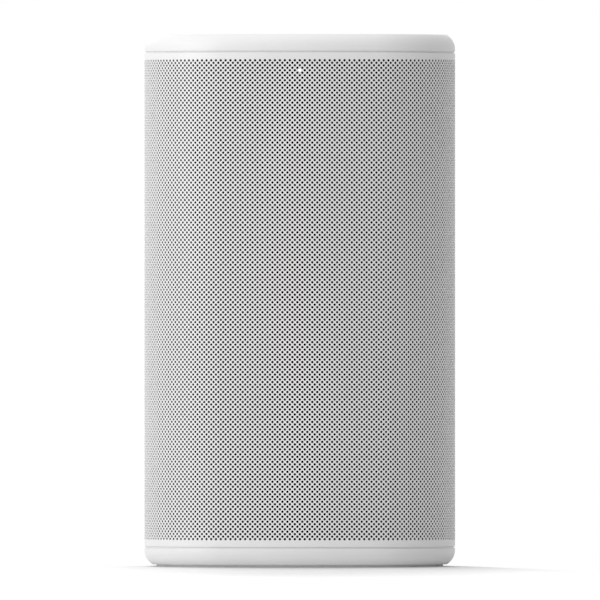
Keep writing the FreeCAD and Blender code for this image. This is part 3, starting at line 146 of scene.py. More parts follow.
class FinishColours(bpy.types.PropertyGroup):
    """Base colours of the finishes that show."""

    shell: colour("Shell", "Caps and keys", (0.80, 0.80, 0.80))
    sleeve: colour("Sleeve", "Perforated sleeve", (0.80, 0.80, 0.80))
    # The cloth's colour is also the painted shade on the walls of the holes
    cloth: colour("Cloth", "Liner behind the holes", (0.004, 0.004, 0.004))
    panel: colour("Panel", "Control panel at the back", (0.74, 0.74, 0.74))
    foot: colour("Foot", "Ring that the speaker stands on", (0.92, 0.92, 0.92))
    sign: colour("Sign", "Printed signs on keys and panel", (0.16, 0.16, 0.16))
    light: colour("Light", "Status light", (1.0, 1.0, 1.0))
    shell_roughness: share("Shell roughness", "How matt the moulded parts are", 0.42)


class StageSizes(bpy.types.PropertyGroup):
    """Camera, floor and lamps."""

    camera_distance: length("Camera distance", "From the speaker's middle to the camera", 9.4)
    camera_right: length("Camera right", "How far the camera stands right of the middle", 0.000065)
    camera_up: length("Camera up", "How far the camera stands above the middle", 0.00015)
    view_width: length("View width", "What the picture shows across, at the speaker", 0.21737)
    # Tint, shadow reach and glow set the floor's paleness and its painted contact shadow
    floor_tint: share("Floor tint", "How pale the floor is to the camera", 0.9)
    shadow_reach: length("Shadow reach", "How far the contact shadow spreads on the floor", 0.045)
    floor_glow: share("Floor glow", "How light the floor stays in the deepest shadow", 0.31)
    key_power: watts("Key light", "Power of the box at the left", 17.5)
    top_power: watts("Top light", "Power of the box overhead", 10.0)
    fill_power: watts("Fill light", "Power of the box at the right", 0.6)
    back_power: watts("Back light", "Power of the box behind", 4.5)
    sky: FloatProperty(name="Surroundings", description="Even light from all sides", default=0.45)


# ---------------------------------------------------------------------------------------------
# Bench: picking, shaping and finishing meshes
# ---------------------------------------------------------------------------------------------


def add(primitive, **sizes):
    """Adds a primitive with nothing else selected and returns its object."""
    bpy.ops.object.select_all(action="DESELECT")
    primitive(**sizes)
    return bpy.context.object


def only(piece):
    """Makes a piece the one that operators act on."""
    bpy.ops.object.select_all(action="DESELECT")
    piece.select_set(True)
    bpy.context.view_layer.objects.active = piece


@contextmanager
def editing(piece, everything=True):
    """Edit mode on one piece, with all of it selected, or else what pick chose."""
    only(piece)
    bpy.ops.object.mode_set(mode="EDIT")
    if everything:
        bpy.ops.mesh.select_all(action="SELECT")
    yield
    bpy.ops.object.mode_set(mode="OBJECT")


def read(items, value, width=3, kind=np.float64):
    """One value of each of a mesh's items, in rows of so many numbers."""
    found = np.empty(len(items) * width, kind)
    items.foreach_get(value, found)
    return found.reshape(-1, width) if width > 1 else found


def places(piece):
    """The piece's vertices as rows of x, y, z."""
    return read(piece.data.vertices, "co")


def face_centres(piece):
    return read(piece.data.polygons, "center")


def open_edges(piece):
    """For each edge, whether fewer than two faces meet at it."""
    used = read(piece.data.loops, "edge_index", 1, np.int32)
    return np.bincount(used, minlength=len(piece.data.edges)) < 2


def move_to(piece, found):
    """Moves the piece's vertices to the places found for them."""
    piece.data.vertices.foreach_set("co", np.ascontiguousarray(found).ravel())
    piece.data.update()


def pick(piece, chosen, items="vertices"):
    """Selects the chosen vertices, edges or polygons, and nothing else."""
    modes = ("vertices", "edges", "polygons")
    for kind in modes:
        group = getattr(piece.data, kind)
        flags = chosen if kind == items else np.zeros(len(group), bool)
        group.foreach_set("select", flags)
    bpy.context.tool_settings.mesh_select_mode = [kind == items for kind in modes]


def remove_faces(piece, chosen):
    if chosen.any():
        pick(piece, chosen, "polygons")
        with editing(piece, everything=False):
            bpy.ops.mesh.delete(type="FACE")


def extrude(piece, chosen, *steps):
    """Draws the chosen vertices' edges out, step after step."""
    pick(piece, chosen)
    with editing(piece, everything=False):
        for step in steps:
            bpy.ops.mesh.extrude_region_move(TRANSFORM_OT_translate={"value": step})


def modify(piece, kind, **settings):
    """Adds a modifier, sets it and applies it."""
    only(piece)
    bpy.ops.object.modifier_add(type=kind)
    modifier = piece.modifiers[-1]
    for name, value in settings.items():
        setattr(modifier, name, value)
    bpy.ops.object.modifier_apply(modifier=modifier.name)


def merge(piece, distance):
    """Makes vertices that lie together one vertex."""
    with editing(piece):
        bpy.ops.mesh.remove_doubles(threshold=distance)


def complete(piece, name, slot, body=BODY, smooth=50.0):
    """Names a finished piece, shades it, gives it its slot's finish and rides it on its body."""
    piece.name = piece.data.name = name
    only(piece)
    bpy.ops.object.transform_apply(location=True, rotation=True, scale=True)
    bpy.ops.object.shade_smooth_by_angle(angle=math.radians(smooth))
    dress(piece, slot)
    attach(piece, body)
    return piece


class Plan:
    """The speaker's oval outline in millimetres: side arcs joined by flatter ones front and back.

    A flat sheet is laid out with x as the run from the middle of the back, y as the height and z as
    the distance out from the surface; wrap bends it round the outline.
    """

    def __init__(self, flatness):
        half_width, half_depth = box_mm("grille")[1].xy
        self.side_radius = half_depth - flatness
        self.side_x = half_width - self.side_radius
        rise = self.side_x**2 + half_depth**2 - self.side_radius**2
        self.front_radius = rise / (2 * (half_depth - self.side_radius))
        self.front_y = self.front_radius - half_depth
        self.lean = math.atan2(self.side_x, self.front_y)
        self.front_run = self.lean * self.front_radius
        self.length = 4 * self.front_run + 2 * (math.pi - 2 * self.lean) * self.side_radius

    def wrap(self, flat):
        """Where places on the flat sheet come to lie round the speaker, in metres."""
        half = self.length / 2
        run = np.mod(flat[:, 0], self.length) - half
        far, out = np.abs(run), flat[:, 2]
        ahead, behind = far < self.front_run, far > half - self.front_run
        angle = self.lean + (far - self.front_run) / self.side_radius
        angle = np.where(ahead, far / self.front_radius, angle)
        angle = np.where(behind, math.pi - (half - far) / self.front_radius, angle)
        flatter = ahead | behind
        radius = np.where(flatter, self.front_radius, self.side_radius) + out
        across = np.where(flatter, 0.0, self.side_x) + radius * np.sin(angle)
        centre = np.where(ahead, self.front_y, np.where(behind, -self.front_y, 0.0))
        placed = [np.sign(run) * across, centre - radius * np.cos(angle), flat[:, 1]]
        return np.stack(placed, 1) * MM

    def bend(self, piece):
        """Bends a flat sheet round the outline and closes it where its ends meet."""
        move_to(piece, self.wrap(places(piece)))
        merge(piece, CLOSE * MM)

    def strip(self, profile, steps=342):
        """A closed strip round the outline with the given (height, distance out) section."""
        rows = len(profile) - 1
        piece = add(bpy.ops.mesh.primitive_grid_add, x_subdivisions=steps, y_subdivisions=rows)
        flat = places(piece)
        row = np.rint((flat[:, 1] + 1) / 2 * rows).astype(int)
        section = np.array(profile)
        run = (flat[:, 0] + 1) / 2 * self.length
        move_to(piece, np.stack([run, section[row, 0], section[row, 1]], 1))
        self.bend(piece)
        return piece


# ---------------------------------------------------------------------------------------------
# Perforated sleeve
# ---------------------------------------------------------------------------------------------


class Perforation:
    """The brick pattern of holes in the flat, in millimetres, and the pieces cut from it.

    In even rows two bricks meet at the middle of the back; in the rows between, one straddles it.
    """

    HOLE_SIDES = 8
    INSIDE = 0.49  # Share of a brick's sides, from its middle, that is inside its outline
    EDGE_STEPS = 4  # Steps in which the sleeve's ends turn round
    FOLD_BACK = 0.9  # How far the ends' inside goes back, as a share of the solid rim outside
    LIGHT_GAP = 0.02  # Gap round the light guide
    HALF_BLOCK = 10  # Columns from the middle of the back to the side of the window's block
    WINDOW_STEPS = 16  # Steps in a quarter of the window's round end
    RAISED = 0.5  # How far the rear panel's raised face stands out at least
    LOOK_PAST = 0.1  # How far past an edge to look, as a share of its distance from its face

    def __init__(self, sizes):
        self.sizes = sizes
        self.plan = Plan(sizes.flatness / MM)
        self.pitch = self.plan.length / sizes.columns
        self.rise = sizes.row_rise / MM
        self.radius = sizes.hole_radius / MM
        self.wall = sizes.wall / MM
        low, high = box_mm("grille")
        self.bottom, self.top = low.z, high.z
        self.first = high.z - sizes.first_row / MM
        self.light_level, self.light_radius = self.light_tip()

    def brick(self):
        """One brick of the sheet, its hole edged with a wall that goes back into the sleeve."""
        brick = add(bpy.ops.mesh.primitive_grid_add, x_subdivisions=2, y_subdivisions=2, size=1)
        with editing(brick):
            bpy.ops.transform.resize(value=(self.pitch, self.rise, 1))
        pick(brick, np.linalg.norm(places(brick), axis=1) < self.radius / 2)
        with editing(brick, everything=False):
            bpy.ops.mesh.delete(type="VERT")
            turn = math.pi / self.HOLE_SIDES
            bpy.ops.mesh.primitive_circle_add(
                vertices=self.HOLE_SIDES, radius=self.radius, rotation=(0, 0, turn)
            )
            bpy.ops.mesh.select_all(action="SELECT")
            bpy.ops.mesh.bridge_edge_loops()
            bpy.ops.mesh.normals_make_consistent(inside=False)
        if brick.data.polygons[0].normal.z < 0:
            brick.data.flip_normals()
        extrude(brick, self.inside_brick(places(brick)), (0, 0, -self.wall))
        return brick

    def inside_brick(self, away):
        """Whether places, measured from the middle of their brick, lie inside its outline."""
        return (np.abs(away[:, :2]) < (self.INSIDE * self.pitch, self.INSIDE * self.rise)).all(1)

    def sheet(self, first, rows, start=0, columns=None):
        """Rows of bricks from row number first down, from column start on."""
        sheet = self.brick()
        level = self.first - first * self.rise
        with editing(sheet):
            bpy.ops.transform.translate(value=(self.pitch * (start + 0.5), level, 0))
            bpy.ops.mesh.duplicate_move(
                TRANSFORM_OT_translate={"value": (-self.pitch / 2, -self.rise, 0)}
            )
        repeats = (
            (columns or self.sizes.columns, (self.pitch, 0, 0)),
            ((rows + 1) // 2, (0, -2 * self.rise, 0)),
        )
        for count, step in repeats:
            modify(
                sheet, "ARRAY", count=count, constant_offset_displace=step,
                use_constant_offset=True, use_relative_offset=False,
            )
        lowest = level - (rows - 0.5) * self.rise
        remove_faces(sheet, face_centres(sheet)[:, 1] < lowest)
        merge(sheet, CLOSE)
        return sheet

    def brick_places(self, found):
        """The middle of the brick that each place lies in: its run and its height."""
        row = np.rint((self.first - found[:, 1]) / self.rise)
        shift = np.where(row % 2 == 0, 0.5, 0.0)
        column = np.rint(found[:, 0] / self.pitch - shift)
        return (column + shift) * self.pitch, self.first - row * self.rise

    def block_rows(self):
        """The first row of the block of bricks that holds the window, and how many rows it has.

        Both are even, so that the block's bricks meet those round it.
        """
        low, high = box_mm("rear_panel")
        margin = self.sizes.window_rim / MM + 2 * self.rise
        first = math.floor((self.first - high.z - margin) / self.rise / 2) * 2
        last = math.ceil((self.first - low.z + margin) / self.rise / 2) * 2
        return first, last - first

    def in_block(self, found):
        """Whether places lie in the block of bricks that holds the window."""
        run, level = self.brick_places(found)
        half = self.plan.length / 2
        from_back = half - np.abs(np.mod(run, self.plan.length) - half)
        near = from_back < self.HALF_BLOCK * self.pitch - CLOSE
        first, rows = self.block_rows()
        row = np.rint((self.first - level) / self.rise)
        return near & (row >= first) & (row < first + rows)

    def turn_edge(self, sheet, level, end):
        """Draws the sheet's last row out to its end, round the edge and back down the inside."""
        flat = places(sheet)
        edge = (np.abs(flat[:, 1] - level) < CLOSE) & (flat[:, 2] > -CLOSE)
        side, radius = math.copysign(1, end - level), self.sizes.edge_radius / MM
        steps = [(0, end - level - side * radius, 0)]
        angles = np.linspace(0, math.pi / 2, self.EDGE_STEPS + 1)
        for before, after in zip(angles, angles[1:]):
            rise = side * radius * (math.sin(after) - math.sin(before))
            steps.append((0, rise, radius * (math.cos(after) - math.cos(before))))
        steps.append((0, 0, radius - self.wall))
        steps.append((0, (level - end) * self.FOLD_BACK, 0))
        extrude(sheet, edge, *steps)

    def light_tip(self):
        """The height of the light guide's tip, and the radius of the hole that it looks out of."""
        guide = places(frame["nodes"]["status_light_guide"]) / MM
        tip = guide[guide[:, 1] < guide[:, 1].min() + CLOSE]
        low, high = tip.min(0), tip.max(0)
        return (low[2] + high[2]) / 2, high[0] + self.LIGHT_GAP

    def fit_light(self, sheet):
        """Narrows or widens the hole in front of the status light to fit its light guide."""
        flat = places(sheet)
        middle = (self.plan.length / 2, self.light_level)
        away = flat[:, :2] - middle
        inner = self.inside_brick(away)
        flat[inner, :2] = middle + away[inner] * (self.light_radius / self.radius)
        move_to(sheet, flat)

    def draw_bake_map(self, sheet):
        """Marks the inner ends of the holes' walls for painted shade, and draws the map on which
        the finish is kept.

        The map is the sheet in the flat, with each hole's wall drawn inside its rim.
        """
        flat = places(sheet)
        middle = np.stack(self.brick_places(flat), 1)
        deep = flat[:, 2] < -0.5 * self.wall
        deep &= self.inside_brick(flat[:, :2] - middle)
        # The deep ends of the walls carry the painted shade in the holes
        core = sheet.data.attributes.new("core", "FLOAT", "POINT")
        core.data.foreach_set("value", deep.astype(np.float32))
        drawn = np.where(deep[:, None], (flat[:, :2] + middle) / 2, flat[:, :2])
        drawn = (drawn - drawn.min(0)) / np.ptp(drawn, axis=0)
        corner = read(sheet.data.loops, "vertex_index", 1, np.int32)
        layer = sheet.data.uv_layers.new(name="OFBake")
        layer.uv.foreach_set("vector", drawn[corner].astype(np.float32).ravel())

    def band(self, number):
        """One band of the sleeve, all the way round, with the sleeve's edge on the end ones."""
        total, bands = self.sizes.rows, self.sizes.bands
        each = total // bands // 2 * 2
        first = number * each
        last = number == bands - 1
        rows = total - first if last else each
        sheet = self.sheet(first, rows)
        remove_faces(sheet, self.in_block(face_centres(sheet)))
        if number == 0:
            self.turn_edge(sheet, self.first + self.rise / 2, self.top)
        if last:
            self.turn_edge(sheet, self.first - (total - 0.5) * self.rise, self.bottom)
        if first <= (self.first - self.light_level) / self.rise < first + rows:
            self.fit_light(sheet)
        return sheet

    def window(self):
        """The lowest and highest corner of the window, a gap wider than the panel's raised face."""
        panel = [v.co / MM for v in frame["nodes"]["rear_panel"].data.vertices]
        raised = max(place.y for place in panel) - self.RAISED
        face = [place for place in panel if place.y > raised]
        gap = self.sizes.window_gap / MM
        low = Vector(min(place[axis] for place in face) - gap for axis in range(3))
        high = Vector(max(place[axis] for place in face) + gap for axis in range(3))
        return low, high

    def outside_window(self, found):
        """How far places lie outside the window, which is upright with round ends."""
        low, high = self.window()
        half_width, level = high.x, (low.z + high.z) / 2
        reach = high.z - level - half_width
        beyond = np.maximum(np.abs(found[:, 1] - level) - reach, 0.0)
        return np.hypot(found[:, 0], beyond) - half_width

    def window_block(self):
        """The bricks round the window in the back, and the solid rim between them and it."""
        first, rows = self.block_rows()
        sheet = self.sheet(first, rows, -self.HALF_BLOCK, 2 * self.HALF_BLOCK + 1)
        remove_faces(sheet, ~self.in_block(face_centres(sheet)))
        middles = np.stack(self.brick_places(face_centres(sheet)), 1)
        rim = self.sizes.window_rim / MM + self.pitch / 2
        remove_faces(sheet, self.outside_window(middles) < rim)
        self.draw_window(sheet)
        self.fill_rim(sheet)
        flat = places(sheet)
        outline = (np.abs(self.outside_window(flat)) < CLOSE) & (flat[:, 2] > -CLOSE)
        extrude(sheet, outline, (0, 0, -self.wall))
        return sheet

    def draw_window(self, sheet):
        """Adds the window's outline, as edges alone."""
        low, high = self.window()
        with editing(sheet, everything=False):
            bpy.ops.mesh.select_all(action="DESELECT")
            bpy.ops.mesh.primitive_plane_add(size=1)
            bpy.ops.transform.resize(value=(2 * high.x, high.z - low.z, 1))
            bpy.ops.transform.translate(value=(0, (low.z + high.z) / 2, 0))
            bpy.ops.mesh.bevel(
                offset=high.x, segments=self.WINDOW_STEPS, affect="VERTICES", profile=0.5
            )
            bpy.ops.mesh.remove_doubles(threshold=CLOSE)
            bpy.ops.mesh.delete(type="ONLY_FACE")

    def fill_rim(self, sheet):
        """Fills the sheet between the window's outline and the bricks round it, facing outwards."""
        pick(sheet, self.inner_edges(sheet), "edges")
        with editing(sheet, everything=False):
            bpy.ops.mesh.fill(use_beauty=True)
        inwards = read(sheet.data.polygons, "normal")[:, 2] < -0.5
        pick(sheet, inwards, "polygons")
        with editing(sheet, everything=False):
            bpy.ops.mesh.flip_normals()

    def inner_edges(self, sheet):
        """The front edges that lack a face on the window's side, and the window's outline."""
        mesh = sheet.data
        sides = read(mesh.polygons, "loop_total", 1, np.int32)
        face = np.full(len(mesh.edges), -1)
        face[read(mesh.loops, "edge_index", 1, np.int32)] = np.repeat(np.arange(len(sides)), sides)
        ends = places(sheet)[read(mesh.edges, "vertices", 2, np.int32)]
        middle = ends.mean(1)
        past = middle + (middle - face_centres(sheet)[face]) * self.LOOK_PAST
        front = (ends[:, :, 2] > -CLOSE).all(1)
        return open_edges(sheet) & front & ((face < 0) | self.in_block(past))


class SPEAKER_OT_sleeve(bpy.types.Operator):
    """Model the perforated sleeve, in bands round the speaker and a block round the window"""

    bl_idname = "speaker.sleeve"
    bl_label = "Perforated sleeve"

    def execute(self, context):
        holes = Perforation(context.scene.speaker_sleeve)
        sheets = [(f"sleeve_band_{n + 1}", holes.band(n)) for n in range(holes.sizes.bands)]
        sheets.append(("sleeve_window_block", holes.window_block()))
        for name, sheet in sheets:
            holes.draw_bake_map(sheet)
            holes.plan.bend(sheet)
            piece = complete(sheet, name, "grille_white")
            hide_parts("grille")
        return {"FINISHED"}


# ---------------------------------------------------------------------------------------------
# Seams, signs and contacts
# ---------------------------------------------------------------------------------------------


class SPEAKER_OT_seams(bpy.types.Operator):
    """Model the two shallow seams between the sleeve and the caps"""

    bl_idname = "speaker.seams"
    bl_label = "Seams"

    LIP = 4.2  # How far the caps reach into the sleeve, in millimetres
    GAP = 0.02  # Gap between a seam's ring and what it lies between

    def execute(self, context):
        sizes = context.scene.speaker_sleeve
        plan = Plan(sizes.flatness / MM)
        grille_low, grille_high = box_mm("grille")
        gaps = {
            "top_seam_ring": (grille_high.z, box_mm("top_cap")[0].z + self.LIP),
            "base_seam_ring": (box_mm("base_cap")[1].z - self.LIP, grille_low.z),
        }
        depth, wall = -sizes.seam_depth / MM, -sizes.wall / MM
        for name, (low, high) in gaps.items():
            low, high = low + self.GAP, high - self.GAP
            section = [(low, wall), (low, depth), (high, depth), (high, wall), (low, wall)]
            complete(plan.strip(section), name, "white_shell")
        return {"FINISHED"}


class Sign:
    """A thin printed sign, drawn flat in millimetres about its own middle."""

    THICKNESS = 0.06
    BAR_ROUNDING = 0.45  # Of a bar's ends, as a share of its narrower side
    CORNER_ROUNDING = 0.15  # Of a triangle's corners, as a share of its radius
    ROUND_STEPS = 24

    def __init__(self):
        self.shapes = []

    def put(self, shape, x=0.0, y=0.0, turn=0.0):
        """Turns a shape by so many degrees about the sign's middle and moves it to x and y."""
        place = Matrix.Translation((x, y, 0)) @ Matrix.Rotation(math.radians(turn), 4, "Z")
        shape.data.transform(place)
        self.shapes.append(shape)
        return self

    def bar(self, width, height, x=0.0, y=0.0):
        """A bar with rounded ends."""
        shape = add(bpy.ops.mesh.primitive_plane_add, size=1)
        with editing(shape):
            bpy.ops.transform.resize(value=(width, height, 1))
            rounding = self.BAR_ROUNDING * min(width, height)
            bpy.ops.mesh.bevel(offset=rounding, segments=4, affect="VERTICES")
        return self.put(shape, x, y)

    def triangle(self, radius, x=0.0, y=0.0):
        """A triangle that points to the right, with softened corners."""
        shape = add(bpy.ops.mesh.primitive_circle_add, vertices=3, radius=radius, fill_type="NGON")
        with editing(shape):
            rounding = self.CORNER_ROUNDING * radius
            bpy.ops.mesh.bevel(offset=rounding, segments=3, affect="VERTICES")
        return self.put(shape, x, y, turn=-90)

    def disc(self, radius, x=0.0, y=0.0):
        circle = {"vertices": self.ROUND_STEPS, "radius": radius, "fill_type": "NGON"}
        shape = add(bpy.ops.mesh.primitive_circle_add, **circle)
        return self.put(shape, x, y)

    def arc(self, radius, width, first, last, x=0.0, y=0.0):
        """Part of a ring, from one angle to another in degrees."""
        shape = add(bpy.ops.mesh.primitive_plane_add, size=width, location=(radius, 0, 0))
        bpy.ops.object.transform_apply(location=True, rotation=False, scale=False)
        pick(shape, places(shape)[:, 1] > 0)
        with editing(shape, everything=False):
            bpy.ops.mesh.delete(type="VERT")
        with editing(shape):
            bpy.ops.transform.translate(value=(0, width / 2, 0))
            turn = math.radians(first - last)
            bpy.ops.mesh.spin(
                steps=self.ROUND_STEPS, angle=turn, center=(0, 0, 0), axis=(0, 0, 1)
            )
        return self.put(shape, x, y, turn=first)

    def place(self, name, slot, body, middle, across, up):
        """Gives the shapes their thickness, makes them one and lays them on a surface at middle."""
        for shape in self.shapes:
            for face in shape.data.polygons:
                if face.normal.z < 0:
                    face.flip()
            modify(shape, "SOLIDIFY", thickness=self.THICKNESS, offset=0.0)
        piece, *others = self.shapes
        for other in others:
            modify(piece, "BOOLEAN", object=other, operation="UNION", solver="EXACT")
            only(other)
            bpy.ops.object.delete()
        turned = Matrix((across, up, across.cross(up))).transposed().to_4x4()
        piece.data.transform(Matrix.Scale(MM, 4) @ Matrix.Translation(middle) @ turned)
        return complete(piece, name, slot, body, smooth=30.0)


def draw_voice(sign):
    """A microphone: capsule, cradle and stem."""
    sign.bar(1.7, 3.4, y=0.7).arc(1.75, 0.45, 180, 360, y=0.4).bar(0.45, 1.1, y=-1.7)


def draw_minus(sign):
    sign.bar(3.4, 0.55)


def draw_plus(sign):
    sign.bar(3.4, 0.55).bar(0.55, 3.4)


def draw_play(sign):
    """A triangle and two bars."""
    sign.triangle(1.35, x=-1.0).bar(0.55, 2.3, x=0.75).bar(0.55, 2.3, x=1.85)


def draw_power(sign):
    """A ring, open at the top, with a bar in the opening."""
    sign.arc(1.45, 0.4, 125, 415).bar(0.4, 1.6, y=0.95)


def draw_wireless(sign):
    """Three arcs that spread from a dot."""
    for radius in (1.0, 1.9, 2.8):
        sign.arc(radius, 0.4, 50, 130, y=-1.5)
    sign.disc(0.38, y=-1.5)


def draw_microphone(sign):
    """A small microphone, for the slide switch beneath it."""
    sign.bar(0.9, 1.8, y=0.4).arc(0.95, 0.28, 180, 360, y=0.25).bar(0.28, 0.6, y=-0.95)


class SPEAKER_OT_signs(bpy.types.Operator):
    """Print the signs on the keys and on the panel at the back"""

    bl_idname = "speaker.signs"
    bl_label = "Signs"

    SLOT = "grey_plastic"
    MICROPHONE_DROP = 1.5  # Below the middle between the switch's knob and the panel's upper end

    def execute(self, context):
        top = {"voice": draw_voice, "minus": draw_minus, "play": draw_play, "plus": draw_plus}
        for key, draw in top.items():
            middle = face_mm(f"{key}_key", "z")
            self.print_sign(f"{key}_sign", draw, f"{key}_key_body", middle, RIGHT, BACK)
        rear = {
            "power_sign": ("power_key", draw_power),
            "wireless_sign": ("bluetooth_key", draw_wireless),
        }
        for name, (key, draw) in rear.items():
            middle = face_mm(key, "y")
            self.print_sign(name, draw, f"{key}_body", middle, -RIGHT, UP)
        knob = box_mm("microphone_switch")[1]
        face = box_mm("rear_panel")[1]
        middle = Vector((0, face.y, (knob.z + face.z) / 2 - self.MICROPHONE_DROP))
        self.print_sign("microphone_sign", draw_microphone, BODY, middle, -RIGHT, UP)
        return {"FINISHED"}

    def print_sign(self, name, draw, body, middle, across, up):
        sign = Sign()
        draw(sign)
        sign.place(name, self.SLOT, body, middle, across, up)


class SPEAKER_OT_contacts(bpy.types.Operator):
    """Lay the contacts on both faces of the charging socket's tongue"""

    bl_idname = "speaker.contacts"
    bl_label = "Socket contacts"

    # In millimetres
    COUNT, PITCH = 12, 0.5
    PAD = (0.26, 1.6, 0.04)
    PAD_BEVEL = 0.015
    BEHIND_MOUTH = 1.9
    HALF_TONGUE = 0.36

    def execute(self, context):
        low, high = box_mm("usb_socket")
        first = -self.PITCH * (self.COUNT - 1) / 2
        level = (low.z + high.z) / 2 + self.HALF_TONGUE
        pad = add(bpy.ops.mesh.primitive_cube_add, size=1)
        with editing(pad):
            bpy.ops.transform.resize(value=self.PAD)
            bpy.ops.mesh.bevel(offset=self.PAD_BEVEL, segments=1, affect="EDGES")
            bpy.ops.transform.translate(value=(first, high.y - self.BEHIND_MOUTH, level))
        modify(
            pad, "ARRAY", count=self.COUNT, constant_offset_displace=(self.PITCH, 0, 0),
            use_constant_offset=True, use_relative_offset=False,
        )
        under = (0, 0, -2 * self.HALF_TONGUE)
        with editing(pad):
            bpy.ops.mesh.duplicate_move(TRANSFORM_OT_translate={"value": under})
        pad.data.transform(Matrix.Scale(MM, 4))
        complete(pad, "socket_contacts", "copper", smooth=30.0)
        return {"FINISHED"}


# ---------------------------------------------------------------------------------------------
# Finishes
# ---------------------------------------------------------------------------------------------


class Signal:
    """A shader value in Python expressions: each operator adds its Math node."""

    def __init__(self, tree, socket):
        self.tree, self.socket = tree, socket

    def maths(self, operation, *values):
        return self.tree.node("ShaderNodeMath", {"operation": operation}, dict(enumerate(values)))

    def __add__(self, other):
        return self.maths("ADD", self, other)

    def __mul__(self, other):
        return self.maths("MULTIPLY", self, other)

    def __gt__(self, other):
        return self.maths("GREATER_THAN", self, other)

    __radd__ = __add__
    __rmul__ = __mul__

    def larger(self, other):
        return self.maths("MAXIMUM", self, other)

    def sine(self):
        return self.maths("SINE", self)


class Tree:
    """A shader node tree, with one way to add a node to it."""

    def __init__(self, node_tree):
        self.nodes, self.links = node_tree.nodes, node_tree.links

    def node(self, kind, settings=None, sockets=None, output=0):
        """Adds a node, sets it up, fills its sockets with values or links, and gives one output."""
        node = self.nodes.new(kind)
        for name, value in (settings or {}).items():
            setattr(node, name, value)
        self.fill(node, sockets or {})
        return Signal(self, node.outputs[output])

    def fill(self, node, sockets):
        """Links signals to a node's sockets and sets the other values on them."""
        for name, value in sockets.items():
            if isinstance(value, Signal):
                self.links.new(value.socket, node.inputs[name])
            else:
                node.inputs[name].default_value = value


class Finish(Tree):
    """One material: a Principled shader, and the patterns that drive it.

    Sizes of patterns are in millimetres.
    """

    FACTOR, FIRST, SECOND = 0, 6, 7  # Inputs of a Mix node for colours
    MIXED = 2  # Its output

    def __init__(self, name, tint, roughness, **constants):
        self.material = bpy.data.materials.new(name)
        self.material.use_nodes = True
        super().__init__(self.material.node_tree)
        self.tint, self.roughness = tuple(tint), roughness
        self.shader = next(n for n in self.nodes if n.type == "BSDF_PRINCIPLED")
        self.fill(self.shader, {"Base Color": (*tint, 1), "Roughness": roughness})
        self.fill(self.shader, {key.replace("_", " "): value for key, value in constants.items()})
        self.place = self.node("ShaderNodeTexCoord", output="Object")

    def stretched(self, scale):
        """The place with its axes scaled, to draw a pattern out along some of them."""
        return self.node("ShaderNodeMapping", sockets={"Vector": self.place, "Scale": scale})

    def along(self, axis):
        """The place along one axis."""
        parts = self.node("ShaderNodeSeparateXYZ", sockets={"Vector": self.place}, output=axis)
        return parts * (1 / MM)

    def noise(self, grain, detail=2.0, place=None):
        """Cloudy noise from 0 to 1, whose blotches are about grain across."""
        sockets = {"Vector": place or self.place, "Scale": 1 / (grain * MM), "Detail": detail}
        return self.node("ShaderNodeTexNoise", sockets=sockets, output="Fac")

    def cells(self, grain):
        """The distance from the middles of cells that are about grain across."""
        sockets = {"Vector": self.place, "Scale": 1 / (grain * MM)}
        return self.node("ShaderNodeTexVoronoi", sockets=sockets, output="Distance")

    def mark(self, name):
        """A number that the piece's own mesh holds."""
        return self.node("ShaderNodeAttribute", {"attribute_name": name}, output="Fac")

    def mix(self, factor, first, second):
        """A colour between two, each a signal or three numbers."""
        sides = [side if isinstance(side, Signal) else (*side, 1) for side in (first, second)]
        sockets = {self.FACTOR: factor, self.FIRST: sides[0], self.SECOND: sides[1]}
        return self.node("ShaderNodeMix", {"data_type": "RGBA"}, sockets, self.MIXED)

    def stain(self, pattern, second):
        """Varies the colour from the finish's own to a second one."""
        self.fill(self.shader, {"Base Color": self.mix(pattern, self.tint, second)})
        return self

    def fade(self, pattern, darker):
        """Varies the colour from the finish's own down to a share of it."""
        return self.stain(pattern, [part * darker for part in self.tint])

    def vary_roughness(self, pattern, spread):
        """Varies the roughness by half of spread to both sides of the finish's own."""
        self.fill(self.shader, {"Roughness": pattern * spread + (self.roughness - spread / 2)})
        return self

    def emboss(self, pattern, depth, strength=1.0):
        """Raises the surface by a pattern, depth millimetres from low to high."""
        sockets = {"Height": pattern, "Distance": depth * MM, "Strength": strength}
        self.fill(self.shader, {"Normal": self.node("ShaderNodeBump", sockets=sockets)})
        return self


def moulded(name, tint, roughness, grain=0.14, depth=0.006):
    """Moulded plastic with a fine spark-eroded texture and a faint cloudiness."""
    finish = Finish(name, tint, roughness)
    texture = finish.noise(grain, detail=3.0)
    finish.fade(finish.noise(22.0, detail=3.0), 0.97)
    finish.vary_roughness(texture, 0.10)
    finish.emboss(texture, depth, 0.6)
    return finish.material


def painted_sleeve(name, tint, roughness, core):
    """Matt coating on the perforated sleeve, with painted shade that darkens the walls of its holes
    by halfway down.
    """
    finish = Finish(name, tint, roughness)
    uneven = finish.mix(finish.noise(30.0, detail=2.0), tint, [part * 0.975 for part in tint])
    # Painted shade in the holes: the walls turn to the dark colour by halfway down
    halfway = finish.mark("core") * 2.0
    finish.fill(finish.shader, {"Base Color": finish.mix(halfway, uneven, core)})
    finish.vary_roughness(finish.noise(9.0, detail=2.0), 0.08)
    return finish.material


def woven(name, tint, roughness, thread, relief, gloss=0.3):
    """Two sets of threads that cross."""
    finish = Finish(name, tint, roughness, Specular_IOR_Level=gloss)
    turn = 2 * math.pi / thread
    warp = (finish.along("X") * turn).sine() + (finish.along("Y") * turn).sine()
    weave = (warp * (finish.along("Z") * turn).sine()) * 0.25 + 0.5
    finish.fade(weave, 0.55)
    finish.vary_roughness(finish.noise(1.5), 0.1)
    finish.emboss(weave, relief)
    return finish.material


def rubber(name, tint, roughness):
    """Soft rubber: dull, with a bloom and small nibs."""
    finish = Finish(name, tint, roughness, Sheen_Weight=0.15, Sheen_Roughness=0.7)
    finish.fade(finish.noise(7.0, detail=4.0), 0.86)
    finish.vary_roughness(finish.noise(3.0, detail=3.0), 0.12)
    finish.emboss(finish.cells(0.5), 0.012, 0.5)
    return finish.material


